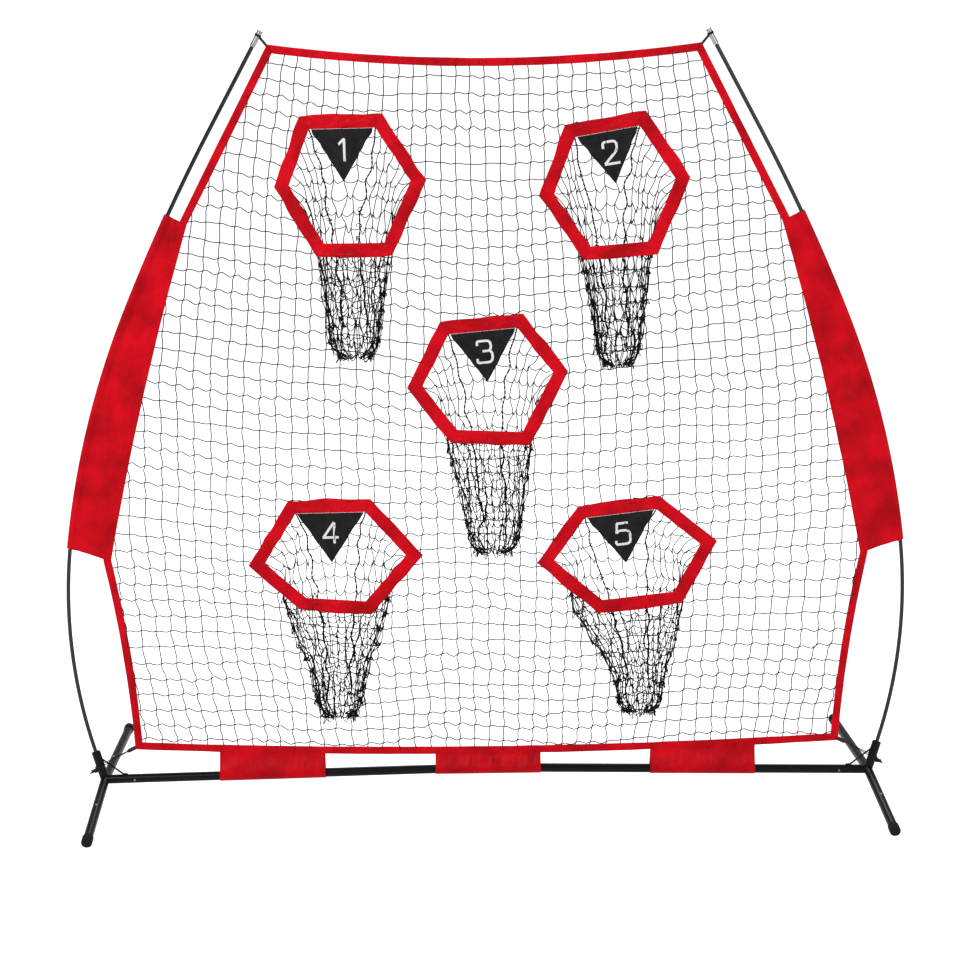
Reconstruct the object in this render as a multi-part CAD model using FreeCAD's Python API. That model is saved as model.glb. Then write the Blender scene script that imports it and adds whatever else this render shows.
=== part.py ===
import FreeCAD, Part
import math
import os

from FreeCAD import Placement, Rotation, Vector

# Pitching target net: a free-standing practice net on a steel base, held open by two
# bowed fibreglass poles, with five numbered ball pockets.
# Millimetres, +Z up. X runs along the base bar, right side positive seen by the thrower.
# The thrower stands on the -Y side and the pockets hang on the +Y side.
# The frame is drawn with the net in the plane y = 0 and moved back at the end, so that
# the origin lies on the floor under the middle of the footprint.

os.makedirs("parts", exist_ok=True)

# Steel tube, shared by the base bar, the hubs and the legs
tube_r = 12.5
tube_wall = 1.2
spigot_wall = 1.25
spigot_length = 60.0
spigot_clearance = 0.15
spigot_root = 12.0
collar_length = 10.8

# Base bar: two halves that rise a little towards their joint in the middle
hub_half_spacing = 1076.0
hub_height = 49.0
bar_rise = 20.0
bar_stub_length = 115.0

# Corner hub: crosspiece, pole socket, wing screw boss and brace rod
crosspiece_stub = 230.0
crosspiece_bend_radius = 160.0
socket_lean = 16.0
socket_length = 84.0
socket_floor = 22.0
socket_mouth_r = 8.5
socket_mouth_depth = 12.0
brace_r = 2.5
brace_height_on_socket = 60.0
brace_reach_on_bar = 52.0
brace_foot = 12.0
brace_weld_sink = 1.0
brace_bend_r = 5.0

# Legs and their end caps
front_reach = 410.0
rear_reach = 580.0
cap_r = 15.0
cap_axis_height = 13.8
cap_depth = 30.0
cap_end_wall = 4.0
cap_clearance = 0.15
cap_edge_round = 3.0

# Snap buttons, one at each tube joint
button_r = 3.4
button_clearance = 0.1
button_rise = 3.0
button_flange_r = 4.8
button_flange = 1.2
button_seat_gap = 0.3
button_tail = 1.5
button_tail_r = 2.0
button_dome = 2.0
button_dome_flat = 0.7
button_crown_r = 2.7
button_back_from_joint = 31.0
button_spring_width = 6.0
button_spring_gauge = 0.8
button_spring_before = 10.0
button_spring_after = 24.0
button_spring_open = 3.0

# Wing screws that clamp the poles in their sockets
screw_r = 3.0
screw_clearance = 0.1
screw_height_on_socket = 32.0
screw_boss_r = 6.5
screw_boss_height = 8.0
screw_head_r = 5.0
screw_head_height = 8.0
screw_head_gap = 0.3
screw_tip_gap = 0.2
wing_gauge = 3.0
# One wing as (distance from the axis, height above the head's underside)
wing_outline = [(2.5, 1.0), (11.2, 2.5), (14.0, 7.2), (11.9, 12.0), (7.7, 9.6), (2.5, 8.0)]

# Poles: one straight stretch in the socket, three tangent arcs and a straight end
pole_r = 5.5
pole_clearance = 0.3
pole_straight = 70.0
pole_low_length = 610.0
pole_low_radius = 1460.0
pole_mid_length = 640.0
pole_mid_radius = 2465.0
pole_high_length = 550.0
pole_high_radius = 5270.0
pole_end_length = 295.0
pole_joint_at = 1080.0
pole_joint_gap = 0.2
ferrule_length = 90.0
ferrule_wall = 1.4
ferrule_clearance = 0.15
tip_length = 46.0
tip_wall = 1.4
tip_end_wall = 3.0
tip_flange_r = 9.0
tip_flange = 2.5
tip_chamfer = 1.0

# Net panel and its sewn hems
hem_width = 22.0
hem_gauge = 3.0
net_gauge = 3.0
mesh_pitch = 45.0
meshes_per_gap = 3
strand = 4.0
top_corner_in = 24.0
top_corner_down = 44.0
top_sag = 37.0
bottom_corner_in = 98.0
bottom_corner_up = 97.0
bottom_sag = 25.0
lower_side_bow = 10.0
top_seam_angle = -60.0
bottom_seam_angle = 49.0

# Pole sleeves: a tunnel round the pole and a panel that joins it to the side hem
sleeve_low_at = 655.0
sleeve_high_at = 1619.0
sleeve_low_width = 90.0
sleeve_mid_width = 94.0
sleeve_high_width = 35.0
sleeve_low_slant = 22.0
sleeve_gauge = 2.0
tunnel_r = 8.0
tunnel_wall = 1.2

# Base sleeves: three loops that hang from the bottom hem and hold the base bar
base_sleeve_length = 296.0
base_sleeve_spacing = 605.0
base_loop_r = 17.0
base_loop_gauge = 1.5
base_loop_seam = 12.0
base_loop_gap = 0.3

# Pocket mouths: a sewn band round a six-cornered hole. Corners are (x, z) from the
# pocket's centre, clockwise from the top left. The lower two are pulled wide.
band_width = 36.0
band_gauge = 5.0
pockets = [
    {
        "centre": (-364.0, 1706.0),
        "corners": [(-130, 185), (90, 189), (205, 13), (114, -190), (-92, -191), (-201, -3)],
        "neck_half": 110.0,
        "bottom": (-358.0, 1212.0),
        "bottom_half": 72.0,
    },
    {
        "centre": (344.0, 1700.0),
        "corners": [(-131, 162), (85, 199), (207, 22), (121, -184), (-79, -200), (-200, -26)],
        "neck_half": 108.0,
        "bottom": (382.0, 1188.0),
        "bottom_half": 66.0,
    },
    {
        "centre": (2.0, 1176.0),
        "corners": [(-127, 160), (98, 180), (223, 22), (118, -182), (-101, -173), (-218, -20)],
        "neck_half": 122.0,
        "bottom": (32.0, 652.0),
        "bottom_half": 62.0,
    },
    {
        "centre": (-424.0, 683.0),
        "corners": [(-122, 161), (104, 164), (248, 4), (102, -163), (-93, -149), (-236, -21)],
        "neck_half": 140.0,
        "bottom": (-404.0, 182.0),
        "bottom_half": 60.0,
    },
    {
        "centre": (388.0, 685.0),
        "corners": [(-137, 136), (90, 162), (249, 33), (154, -144), (-80, -170), (-250, -24)],
        "neck_half": 150.0,
        "bottom": (444.0, 180.0),
        "bottom_half": 60.0,
    },
]

# Pocket bags, seen as four rings of six corners from the mouth to the closed bottom
bag_wall = 3.0
bag_belly_depth = 105.0
bag_neck_depth = 130.0
bag_bottom_depth = 88.0
bag_foot_rise = 42.0
bag_belly_drop = 68.0
bag_neck_drop = 48.0
bag_lip_drop = 14.0
bag_top_share = 0.9
bag_side_share = 0.85
bag_lip_share = 0.8
bag_neck_front_share = 0.75
bag_end_front_share = 0.7
bag_floor_share = 0.5
bag_back_share = 0.6
bag_lip_gap = 8.0
bag_neck_gap = 9.0
bag_end_gap = 12.0

# Number flags, hinged on the upper edge of each mouth
flag_height = 141.0
flag_gauge = 2.0
flag_side_margin = 5.0
flag_gap = 0.4

# Straps and cords at the four corners of the net
strap_width = 7.0
strap_gauge = 2.2
strap_ring_gauge = 1.5
strap_ring_clearance = 0.3
strap_ring_from_end = 10.0
hook_length = 21.0
hook_r = 5.5
hook_nose_r = 3.0
hook_nose_length = 6.0
hook_overlap_gap = 0.3
cord_r = 2.3
cord_ring_clearance = 0.3
cord_height_on_socket = 42.0
cord_behind = 9.0
cord_ring_sink = 2.0

# Worked out from the values above
tube_bore_r = tube_r - tube_wall
spigot_r = tube_bore_r - spigot_clearance
spigot_bore_r = spigot_r - spigot_wall
lean = math.radians(socket_lean)
bar_angle = math.atan2(bar_rise, hub_half_spacing)
front_angle = math.atan2(hub_height - cap_axis_height, front_reach)
rear_angle = math.atan2(hub_height - cap_axis_height, rear_reach)
front_length = front_reach / math.cos(front_angle)
rear_length = rear_reach / math.cos(rear_angle)
footprint_shift = (rear_reach - front_reach) / 2.0

hub = Vector(hub_half_spacing, 0, hub_height)
bar_dir = Vector(-math.cos(bar_angle), 0, math.sin(bar_angle))
bar_up = Vector(math.sin(bar_angle), 0, math.cos(bar_angle))
front_dir = Vector(0, -math.cos(front_angle), -math.sin(front_angle))
rear_dir = Vector(0, math.cos(rear_angle), -math.sin(rear_angle))
socket_dir = Vector(math.sin(lean), 0, math.cos(lean))
socket_out = Vector(math.cos(lean), 0, -math.sin(lean))
bar_half_length = hub_half_spacing / math.cos(bar_angle)
bar_middle = hub + bar_dir * bar_half_length
Y_AXIS = Vector(0, 1, 0)


def cylinder(radius, length, start, direction):
    return Part.makeCylinder(radius, length, start, direction)


def tube(outer_r, inner_r, length, start, direction):
    return cylinder(outer_r, length, start, direction).cut(cylinder(inner_r, length, start, direction))


def fuse(shapes):
    return shapes[0].multiFuse(shapes[1:]).removeSplitter()


def mirrored(shape):
    return shape.mirror(Vector(0, 0, 0), Vector(1, 0, 0))


def rounded_path(points, radius):
    """Straight runs through the points, joined by tangent arcs of one radius."""
    edges = []
    start = points[0]
    for before, corner, after in zip(points, points[1:], points[2:]):
        back = (before - corner).normalize()
        ahead = (after - corner).normalize()
        half = back.getAngle(ahead) / 2.0
        setback = radius / math.tan(half)
        middle = (back + ahead).normalize() * (radius / math.sin(half) - radius)
        arc_start = corner + back * setback
        arc_end = corner + ahead * setback
        edges.append(Part.LineSegment(start, arc_start).toShape())
        edges.append(Part.Arc(arc_start, corner + middle, arc_end).toShape())
        start = arc_end
    edges.append(Part.LineSegment(start, points[-1]).toShape())
    return Part.Wire(edges)


def pipe(path, radius, start, direction):
    """A round rod of one radius along a path."""
    profile = Part.Wire(Part.makeCircle(radius, start, direction))
    return path.makePipeShell([profile], True, False)


def turned(profile, start, direction):
    """Turn a profile of (radius, distance) points about an axis from start along direction."""
    points = [Vector(r, 0, d) for r, d in profile]
    face = Part.Face(Part.makePolygon(points + [points[0]]))
    solid = face.revolve(Vector(0, 0, 0), Vector(0, 0, 1), 360)
    solid.Placement = Placement(start, Rotation(Vector(0, 0, 1), direction))
    return solid


def swaged_tube(start, direction, body_length):
    """A tube whose first end is drawn down to a spigot that plugs into the tube before it.

    start is the joint face: the spigot lies before it and the full tube after it."""
    neck = tube_wall * 2
    profile = [
        (spigot_bore_r, -spigot_length),
        (spigot_r, -spigot_length),
        (spigot_r, 0),
        (tube_r, 0),
        (tube_r, body_length),
        (tube_bore_r, body_length),
        (tube_bore_r, neck * 2),
        (spigot_bore_r, neck),
    ]
    return turned(profile, start, direction)


def button_hole(joint, along, out):
    """The hole that a snap button passes through, on one side of both tubes."""
    centre = joint - along * button_back_from_joint
    return cylinder(button_r + button_clearance, tube_r + 1, centre, out)


def snap_button(joint, along, out):
    """Domed pin with a flange that stops inside the inner tube's wall."""
    centre = joint - along * button_back_from_joint
    flange_top = math.sqrt(spigot_bore_r ** 2 - button_flange_r ** 2) - button_seat_gap
    flange_bottom = flange_top - button_flange
    top = tube_r + button_rise
    profile = [
        (0, flange_bottom - button_tail),
        (button_tail_r, flange_bottom - button_tail),
        (button_tail_r, flange_bottom),
        (button_flange_r, flange_bottom),
        (button_flange_r, flange_top),
        (button_r, flange_top),
        (button_r, top - button_dome),
        (button_crown_r, top - button_dome_flat),
        (0, top),
    ]
    return turned(profile, centre, out)


def button_spring(joint, along, out):
    """V-shaped leaf spring under a snap button, one arm on the far wall of the bore."""
    centre = joint - along * button_back_from_joint
    across = along.cross(out)
    half = button_spring_width / 2.0
    seat = -math.sqrt(spigot_bore_r ** 2 - half ** 2) + button_seat_gap
    near = -button_spring_before
    far = button_spring_after
    gauge = button_spring_gauge
    points = [
        (near, seat),
        (far, seat),
        (far + gauge * 2, seat + gauge * 2.5),
        (far, seat + gauge * 5),
        (near, button_spring_open),
        (near, button_spring_open - gauge),
        (far - gauge, seat + gauge * 4),
        (far + gauge * 0.6, seat + gauge * 2.5),
        (far - gauge, seat + gauge),
        (near, seat + gauge),
    ]
    corners = [centre + along * a + out * b - across * half for a, b in points]
    face = Part.Face(Part.makePolygon(corners + [corners[0]]))
    return face.extrude(across * button_spring_width)


def pole_segments():
    return [
        (pole_straight, None),
        (pole_low_length, pole_low_radius),
        (pole_mid_length, pole_mid_radius),
        (pole_high_length, pole_high_radius),
        (pole_end_length, None),
    ]


pole_length = sum(length for length, radius in pole_segments())


def pole_state(distance):
    """Point, and lean from the vertical, at a distance along the pole's centre line."""
    point = hub + socket_dir * socket_floor
    x = point.x
    z = point.z
    angle = lean
    left = distance
    for length, radius in pole_segments():
        run = min(left, length)
        if radius is None:
            x += run * math.sin(angle)
            z += run * math.cos(angle)
        else:
            turned_angle = angle - run / radius
            x += radius * (math.cos(turned_angle) - math.cos(angle))
            z += radius * (math.sin(angle) - math.sin(turned_angle))
            angle = turned_angle
        left -= run
        if left <= 0:
            break
    return Vector(x, 0, z), angle


def pole_point(distance):
    return pole_state(distance)[0]


def pole_dir(distance):
    angle = pole_state(distance)[1]
    return Vector(math.sin(angle), 0, math.cos(angle))


def pole_path(start, end):
    """The pole's centre line between two distances, as lines and tangent arcs."""
    edges = []
    begin = 0.0
    for length, radius in pole_segments():
        finish = begin + length
        low = max(start, begin)
        high = min(end, finish)
        if high - low > 0.01:
            if radius is None:
                edge = Part.LineSegment(pole_point(low), pole_point(high))
            else:
                middle = (low + high) / 2.0
                edge = Part.Arc(pole_point(low), pole_point(middle), pole_point(high))
            edges.append(edge.toShape())
        begin = finish
    return Part.Wire(edges)


def pole_rod(start, end, radius):
    return pipe(pole_path(start, end), radius, pole_point(start), pole_dir(start))


def plate(face, gauge):
    """A flat face in the net's plane, thickened equally to both sides."""
    solid = face.extrude(Vector(0, gauge, 0))
    solid.translate(Vector(0, -gauge / 2.0, 0))
    return solid


def flat_polygon(points):
    corners = [Vector(x, 0, z) for x, z in points]
    return Part.makePolygon(corners + [corners[0]])


# Corner hubs: crosspiece, bar stub, pole socket, screw boss and brace rod, welded
def corner_hub():
    front_end = hub + front_dir * crosspiece_stub
    rear_end = hub + rear_dir * crosspiece_stub
    path = rounded_path([front_end, hub, rear_end], crosspiece_bend_radius)
    crosspiece = pipe(path, tube_r, front_end, front_dir)
    cross_bore = pipe(path, tube_bore_r, front_end, front_dir)
    stub = cylinder(tube_r, bar_stub_length, hub, bar_dir)
    socket = cylinder(tube_r, socket_length, hub, socket_dir)
    screw_base = hub + socket_dir * screw_height_on_socket
    boss = cylinder(screw_boss_r, tube_r + screw_boss_height, screw_base, socket_out)
    brace_top = hub + socket_dir * brace_height_on_socket - socket_out * (tube_r - brace_r)
    foot_line = hub + bar_up * (tube_r + brace_r - brace_weld_sink)
    brace_bend = foot_line + bar_dir * brace_reach_on_bar
    brace_end = brace_bend + bar_dir * brace_foot
    brace_path = rounded_path([brace_top, brace_bend, brace_end], brace_bend_r)
    brace = pipe(brace_path, brace_r, brace_top, brace_bend - brace_top)
    body = fuse([crosspiece, stub, socket, boss, brace])

    stub_bore = cylinder(tube_bore_r, bar_stub_length, hub + bar_dir * (tube_r + 1), bar_dir)
    pole_seat = hub + socket_dir * (socket_floor - pole_clearance)
    socket_bore = cylinder(pole_r + pole_clearance, socket_length, pole_seat, socket_dir)
    mouth = hub + socket_dir * (socket_length - socket_mouth_depth)
    mouth_bore = cylinder(socket_mouth_r, socket_mouth_depth + 1, mouth, socket_dir)
    screw_bore = cylinder(screw_r + screw_clearance, tube_r * 2, screw_base, socket_out)
    holes = [button_hole(*joint) for joint in hub_joints()]
    return body.cut([cross_bore, stub_bore, socket_bore, mouth_bore, screw_bore] + holes)


def front_joint():
    return hub + front_dir * crosspiece_stub, front_dir, front_dir.cross(Vector(1, 0, 0))


def rear_joint():
    return hub + rear_dir * crosspiece_stub, rear_dir, rear_dir.cross(Vector(-1, 0, 0))


def bar_joint():
    return hub + bar_dir * bar_stub_length, bar_dir, -Y_AXIS


def middle_joint():
    """Joint of the two bar halves. The left half's spigot lies in the right half's end."""
    inward = bar_dir * -1
    return bar_middle + inward * spigot_length, inward, -Y_AXIS


def hub_joints():
    return [front_joint(), rear_joint(), bar_joint()]


def leg(joint, length):
    start, along, out = joint
    body_length = length - cap_end_wall - crosspiece_stub
    return swaged_tube(start, along, body_length).cut(button_hole(*joint))


def foot_cap(along, length):
    """Rubber cup over a leg's end, with its underside pressed flat on the floor."""
    open_end = hub + along * (length - cap_depth)
    body = cylinder(cap_r, cap_depth, open_end, along)
    rim = [e for e in body.Edges if e.CenterOfMass.distanceToPoint(hub + along * length) < 0.1]
    body = body.makeFillet(cap_edge_round, rim)
    bore = cylinder(tube_r + cap_clearance, cap_depth - cap_end_wall + cap_clearance, open_end, along)
    floor_corner = Vector(hub.x - cap_r * 2, -rear_reach * 2, -cap_r)
    below = Part.makeBox(cap_r * 4, rear_reach * 4, cap_r, floor_corner)
    return body.cut([bore, below])


# Base bar halves
def bar_half():
    """Right half with a spigot for the hub's stub, cut square to the floor at the middle."""
    joint = bar_joint()
    bar = swaged_tube(joint[0], bar_dir, bar_half_length - bar_stub_length + tube_wall)
    corner = Vector(-tube_r * 4, -tube_r * 2, bar_middle.z - tube_r * 2)
    past_middle = Part.makeBox(tube_r * 4, tube_r * 4, tube_r * 4, corner)
    return bar.cut([button_hole(*joint), past_middle])


def bar_right():
    return bar_half().cut(button_hole(*middle_joint()))


def bar_left():
    bar = mirrored(bar_half())
    toward_right = bar_dir * -1
    root = bar_middle - toward_right * spigot_root
    collar_r = (tube_r + tube_bore_r) / 2.0
    collar = tube(collar_r, spigot_bore_r, collar_length, root, toward_right)
    spigot = tube(spigot_r, spigot_bore_r, spigot_length + spigot_root, root, toward_right)
    bar = fuse([bar, collar, spigot])
    return bar.cut(button_hole(*middle_joint()))


# Wing screw
def wing_screw():
    axis = hub + socket_dir * screw_height_on_socket
    shank_start = axis + socket_out * (pole_r + pole_clearance + screw_tip_gap)
    head_start = axis + socket_out * (tube_r + screw_boss_height + screw_head_gap)
    head_end = head_start + socket_out * screw_head_height
    shank = cylinder(screw_r, (head_end - shank_start).Length, shank_start, socket_out)
    head = cylinder(screw_head_r, screw_head_height, head_start, socket_out)
    wings = []
    for side in (-1, 1):
        corners = [head_start + Y_AXIS * (a * side) + socket_out * b for a, b in wing_outline]
        face = Part.Face(Part.makePolygon(corners + [corners[0]]))
        wing = face.extrude(socket_dir * wing_gauge)
        wing.translate(socket_dir * (-wing_gauge / 2.0))
        wings.append(wing)
    return fuse([shank, head] + wings)


# Poles, ferrules and tips
def pole_lower():
    return pole_rod(0, pole_joint_at - pole_joint_gap / 2.0, pole_r)


def pole_upper():
    return pole_rod(pole_joint_at + pole_joint_gap / 2.0, pole_length, pole_r)


def pole_ferrule():
    start = pole_joint_at - ferrule_length / 2.0
    end = pole_joint_at + ferrule_length / 2.0
    bore_r = pole_r + ferrule_clearance
    return pole_rod(start, end, bore_r + ferrule_wall).cut(pole_rod(start, end, bore_r))


def pole_tip():
    """Metal cup on the pole's end, with a flange that keeps the strap from slipping off."""
    bore_r = pole_r + ferrule_clearance
    outer_r = bore_r + tip_wall
    end = ferrule_clearance + tip_end_wall
    low = end - tip_length
    profile = [
        (bore_r, low),
        (outer_r, low),
        (outer_r, end - tip_flange - tip_chamfer),
        (tip_flange_r, end - tip_flange),
        (tip_flange_r, end - tip_chamfer),
        (tip_flange_r - tip_chamfer, end),
        (0, end),
        (0, ferrule_clearance),
        (bore_r, ferrule_clearance),
    ]
    return turned(profile, pole_point(pole_length), pole_dir(pole_length))


# Net outline: the centre line of the hems, from the pole's tip and the hub
def top_corner():
    tip = pole_point(pole_length)
    return Vector(tip.x - top_corner_in, 0, tip.z - top_corner_down)


def bottom_corner():
    return Vector(hub.x - bottom_corner_in, 0, hub.z + bottom_corner_up)


def beside_pole(distance, gap):
    """A point that lies straight in from the pole by a gap, square to the pole."""
    along = pole_dir(distance)
    return pole_point(distance) + Vector(-along.z, 0, along.x) * gap


def sleeve_point(distance, width):
    return beside_pole(distance, width + hem_width / 2.0)


def flipped(point):
    return Vector(-point.x, point.y, point.z)


def hem_centre_line():
    top = top_corner()
    high = sleeve_point(sleeve_high_at, sleeve_high_width)
    mid = sleeve_point((sleeve_low_at + sleeve_high_at) / 2.0, sleeve_mid_width)
    low = sleeve_point(sleeve_low_at, sleeve_low_width) - Vector(0, 0, sleeve_low_slant)
    bottom = bottom_corner()
    bow = (low + bottom) * 0.5 - Vector(lower_side_bow, 0, 0)
    right = [
        Part.LineSegment(top, high),
        Part.Arc(high, mid, low),
        Part.Arc(low, bow, bottom),
    ]
    left = [
        Part.Arc(flipped(bottom), flipped(bow), flipped(low)),
        Part.Arc(flipped(low), flipped(mid), flipped(high)),
        Part.LineSegment(flipped(high), flipped(top)),
    ]
    under = Part.Arc(bottom, Vector(0, 0, bottom.z - bottom_sag), flipped(bottom))
    over = Part.Arc(flipped(top), Vector(0, 0, top.z - top_sag), top)
    return Part.Wire([curve.toShape() for curve in right + [under] + left + [over]])


def hem_faces():
    """The face inside the hems' outer edge, and the one inside their inner edge."""
    line = hem_centre_line()
    outer = Part.Face(line.makeOffset2D(hem_width / 2.0, 2))
    inner = Part.Face(line.makeOffset2D(-hem_width / 2.0, 2))
    if outer.Area < inner.Area:
        outer, inner = inner, outer
    return outer, inner


def wedge(corner, inward_angle):
    """A region that opens from the middle line through a corner and its mirror image."""
    slope = math.tan(math.radians(inward_angle))
    apex_z = corner.z + corner.x * slope
    far_x = corner.x * 2
    far_z = apex_z - far_x * slope
    return Part.Face(flat_polygon([(0, apex_z), (far_x, far_z), (-far_x, far_z)]))


def hems():
    outer, inner = hem_faces()
    ring = outer.cut(inner)
    over = wedge(top_corner(), top_seam_angle)
    under = wedge(bottom_corner(), bottom_seam_angle)
    sides = ring.cut([over, under])
    side_faces = sorted(sides.Faces, key=lambda face: face.CenterOfMass.x)
    return {
        "hem_top": plate(ring.common(over).Faces[0], hem_gauge),
        "hem_bottom": plate(ring.common(under).Faces[0], hem_gauge),
        "hem_left": plate(side_faces[0], hem_gauge),
        "hem_right": plate(side_faces[-1], hem_gauge),
    }


# Pocket bands and the net panel round them
def mouth_corners(pocket):
    x, z = pocket["centre"]
    return [(x + dx, z + dz) for dx, dz in pocket["corners"]]


def band_faces(pocket):
    """The face inside a band's outer edge, and the open mouth inside its inner edge."""
    outer = Part.Face(flat_polygon(mouth_corners(pocket)))
    mouth = Part.Face(outer.OuterWire.makeOffset2D(-band_width, 2))
    return outer, mouth


def pocket_band(pocket):
    outer, mouth = band_faces(pocket)
    return plate(outer.cut(mouth), band_gauge)


def target_net():
    """One holed sheet: every third mesh line of the real net, cut round the pocket bands."""
    inner = hem_faces()[1]
    bands = [band_faces(pocket)[0] for pocket in pockets]
    sheet = inner.cut(bands)
    selvedge = Part.Face(inner.OuterWire.makeOffset2D(-strand, 2))
    band_edges = [Part.Face(band.OuterWire.makeOffset2D(strand, 2)) for band in bands]
    zone = selvedge.cut(band_edges)
    pitch = mesh_pitch * meshes_per_gap
    hole = pitch - strand
    box = inner.BoundBox
    columns = math.ceil(box.XMax / pitch)
    rows = math.ceil((box.ZMax - box.ZMin) / pitch)
    cells = []
    for column in range(-columns, columns):
        for row in range(rows):
            x = column * pitch + strand / 2.0
            z = box.ZMin + row * pitch + strand / 2.0
            square = [(x, z), (x + hole, z), (x + hole, z + hole), (x, z + hole)]
            cells.append(Part.Face(flat_polygon(square)))
    gaps = zone.common(Part.Compound(cells)).Faces
    gaps = [gap for gap in gaps if gap.Area > hole * strand]
    print("net gaps:", len(gaps))
    return plate(sheet.cut(gaps).Faces[0], net_gauge)


def ordered_mouth(mouth):
    """Corners of a mouth, clockwise from its top left one."""
    points = [(v.X, v.Z) for v in mouth.Vertexes]
    cx = sum(x for x, z in points) / len(points)
    cz = sum(z for x, z in points) / len(points)
    ring = sorted(points, key=lambda p: -math.atan2(p[1] - cz, p[0] - cx))
    first = max((p for p in ring if p[0] < cx), key=lambda p: p[1])
    at = ring.index(first)
    return ring[at:] + ring[:at]


def toward(value, middle, share):
    """A value drawn in towards the middle, keeping a share of its distance from it."""
    return middle + (value - middle) * share


def ring_of_six(mid_x, half, front_share, depths, heights):
    """Two back corners, the right one, two front corners and the left one."""
    back_y, side_y, front_y = depths
    back_z, side_z, front_z = heights
    back = half * bag_back_share
    front = half * front_share
    return [
        Vector(mid_x - back, back_y, back_z),
        Vector(mid_x + back, back_y, back_z),
        Vector(mid_x + half, side_y, side_z),
        Vector(mid_x + front, front_y, front_z),
        Vector(mid_x - front, front_y, front_z),
        Vector(mid_x - half, side_y, side_z),
    ]


def bag_rings(pocket, grow):
    """Five rings of six corners. grow moves every ring outwards by the bag's wall."""
    mouth_face = band_faces(pocket)[1]
    if grow:
        mouth_face = Part.Face(mouth_face.OuterWire.makeOffset2D(grow, 2))
    mouth = ordered_mouth(mouth_face)
    top_left, top_right, right, low_right, low_left, left = mouth
    behind = band_gauge / 2.0
    neck = pocket["neck_half"] + grow
    mid_x = (low_left[0] + low_right[0]) / 2.0
    low_z = (low_left[1] + low_right[1]) / 2.0
    first = [Vector(x, behind, z) for x, z in mouth]

    belly_y = bag_belly_depth + grow
    side_drop = bag_belly_drop / 2.0
    lip_y = behind + bag_lip_gap - grow
    lip_z = low_z - bag_lip_drop
    lip = neck * bag_lip_share
    belly = [
        Vector(toward(top_left[0], mid_x, bag_top_share), belly_y, top_left[1] - bag_belly_drop),
        Vector(toward(top_right[0], mid_x, bag_top_share), belly_y, top_right[1] - bag_belly_drop),
        Vector(toward(right[0], mid_x, bag_side_share), belly_y / 2.0, right[1] - side_drop),
        Vector(mid_x + lip, lip_y, lip_z),
        Vector(mid_x - lip, lip_y, lip_z),
        Vector(toward(left[0], mid_x, bag_side_share), belly_y / 2.0, left[1] - side_drop),
    ]

    neck_y = bag_neck_depth + grow
    depths = (neck_y, neck_y / 2.0, behind + bag_neck_gap - grow)
    heights = (low_z + bag_neck_drop, low_z - bag_neck_drop / 2.0, low_z - bag_neck_drop * 1.5)
    throat = ring_of_six(mid_x, neck, bag_neck_front_share, depths, heights)

    end_x, end_z = pocket["bottom"]
    half_depth = bag_bottom_depth / 2.0 + grow
    end_y = behind + bag_end_gap + bag_bottom_depth / 2.0
    floor = end_z + bag_wall - grow
    end_half = pocket["bottom_half"] + grow
    depths = (end_y + half_depth, end_y, end_y - half_depth)
    knee = floor + bag_foot_rise
    foot = ring_of_six(end_x, end_half, bag_end_front_share, depths, (knee, knee, knee))
    half_depth = half_depth * bag_floor_share
    depths = (end_y + half_depth, end_y, end_y - half_depth)
    drawn = end_half * bag_floor_share
    closed = ring_of_six(end_x, drawn, bag_end_front_share, depths, (floor, floor, floor))
    return [first, belly, throat, foot, closed]


def bag_solid(pocket, grow):
    wires = [Part.makePolygon(ring + [ring[0]]) for ring in bag_rings(pocket, grow)]
    return Part.makeLoft(wires, True, True)


def pocket_net(pocket):
    """Bag open at the mouth, hanging behind and below its band."""
    return bag_solid(pocket, bag_wall).cut(bag_solid(pocket, 0.0))


def flag_frame(pocket):
    """Left and right ends of a flag's sewn edge."""
    mouth = ordered_mouth(band_faces(pocket)[1])
    left = Vector(mouth[0][0], 0, mouth[0][1])
    right = Vector(mouth[1][0], 0, mouth[1][1])
    along = (right - left).normalize()
    down = Vector(along.z, 0, -along.x)
    drop = down * (flag_gap + flag_gauge / 2.0)
    return left + along * flag_side_margin + drop, right - along * flag_side_margin + drop, down


def number_flag(pocket):
    left, right, down = flag_frame(pocket)
    tip = (left + right) * 0.5 + down * flag_height
    face = Part.Face(Part.makePolygon([left, right, tip, left]))
    roll = cylinder(flag_gauge / 2.0, (right - left).Length, left, right - left)
    return fuse([plate(face, flag_gauge), roll])


# Fabric sleeves
def pole_sleeve():
    outer = hem_faces()[0]
    path = pole_path(sleeve_low_at, sleeve_high_at)
    high = pole_point(sleeve_high_at)
    low = pole_point(sleeve_low_at)
    high_in = sleeve_point(sleeve_high_at, sleeve_high_width)
    low_in = sleeve_point(sleeve_low_at, sleeve_low_width) - Vector(0, 0, sleeve_low_slant)
    edges = list(path.Edges)
    edges.append(Part.LineSegment(high, high_in).toShape())
    edges.append(Part.LineSegment(high_in, low_in).toShape())
    edges.append(Part.LineSegment(low_in, low).toShape())
    panel = plate(Part.Face(Part.Wire(edges)).cut(outer), sleeve_gauge)
    tunnel = pole_rod(sleeve_low_at, sleeve_high_at, tunnel_r + tunnel_wall)
    bore = pole_rod(sleeve_low_at - tunnel_r, sleeve_high_at + tunnel_r, tunnel_r)
    return fuse([panel, tunnel]).cut(bore)


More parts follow.
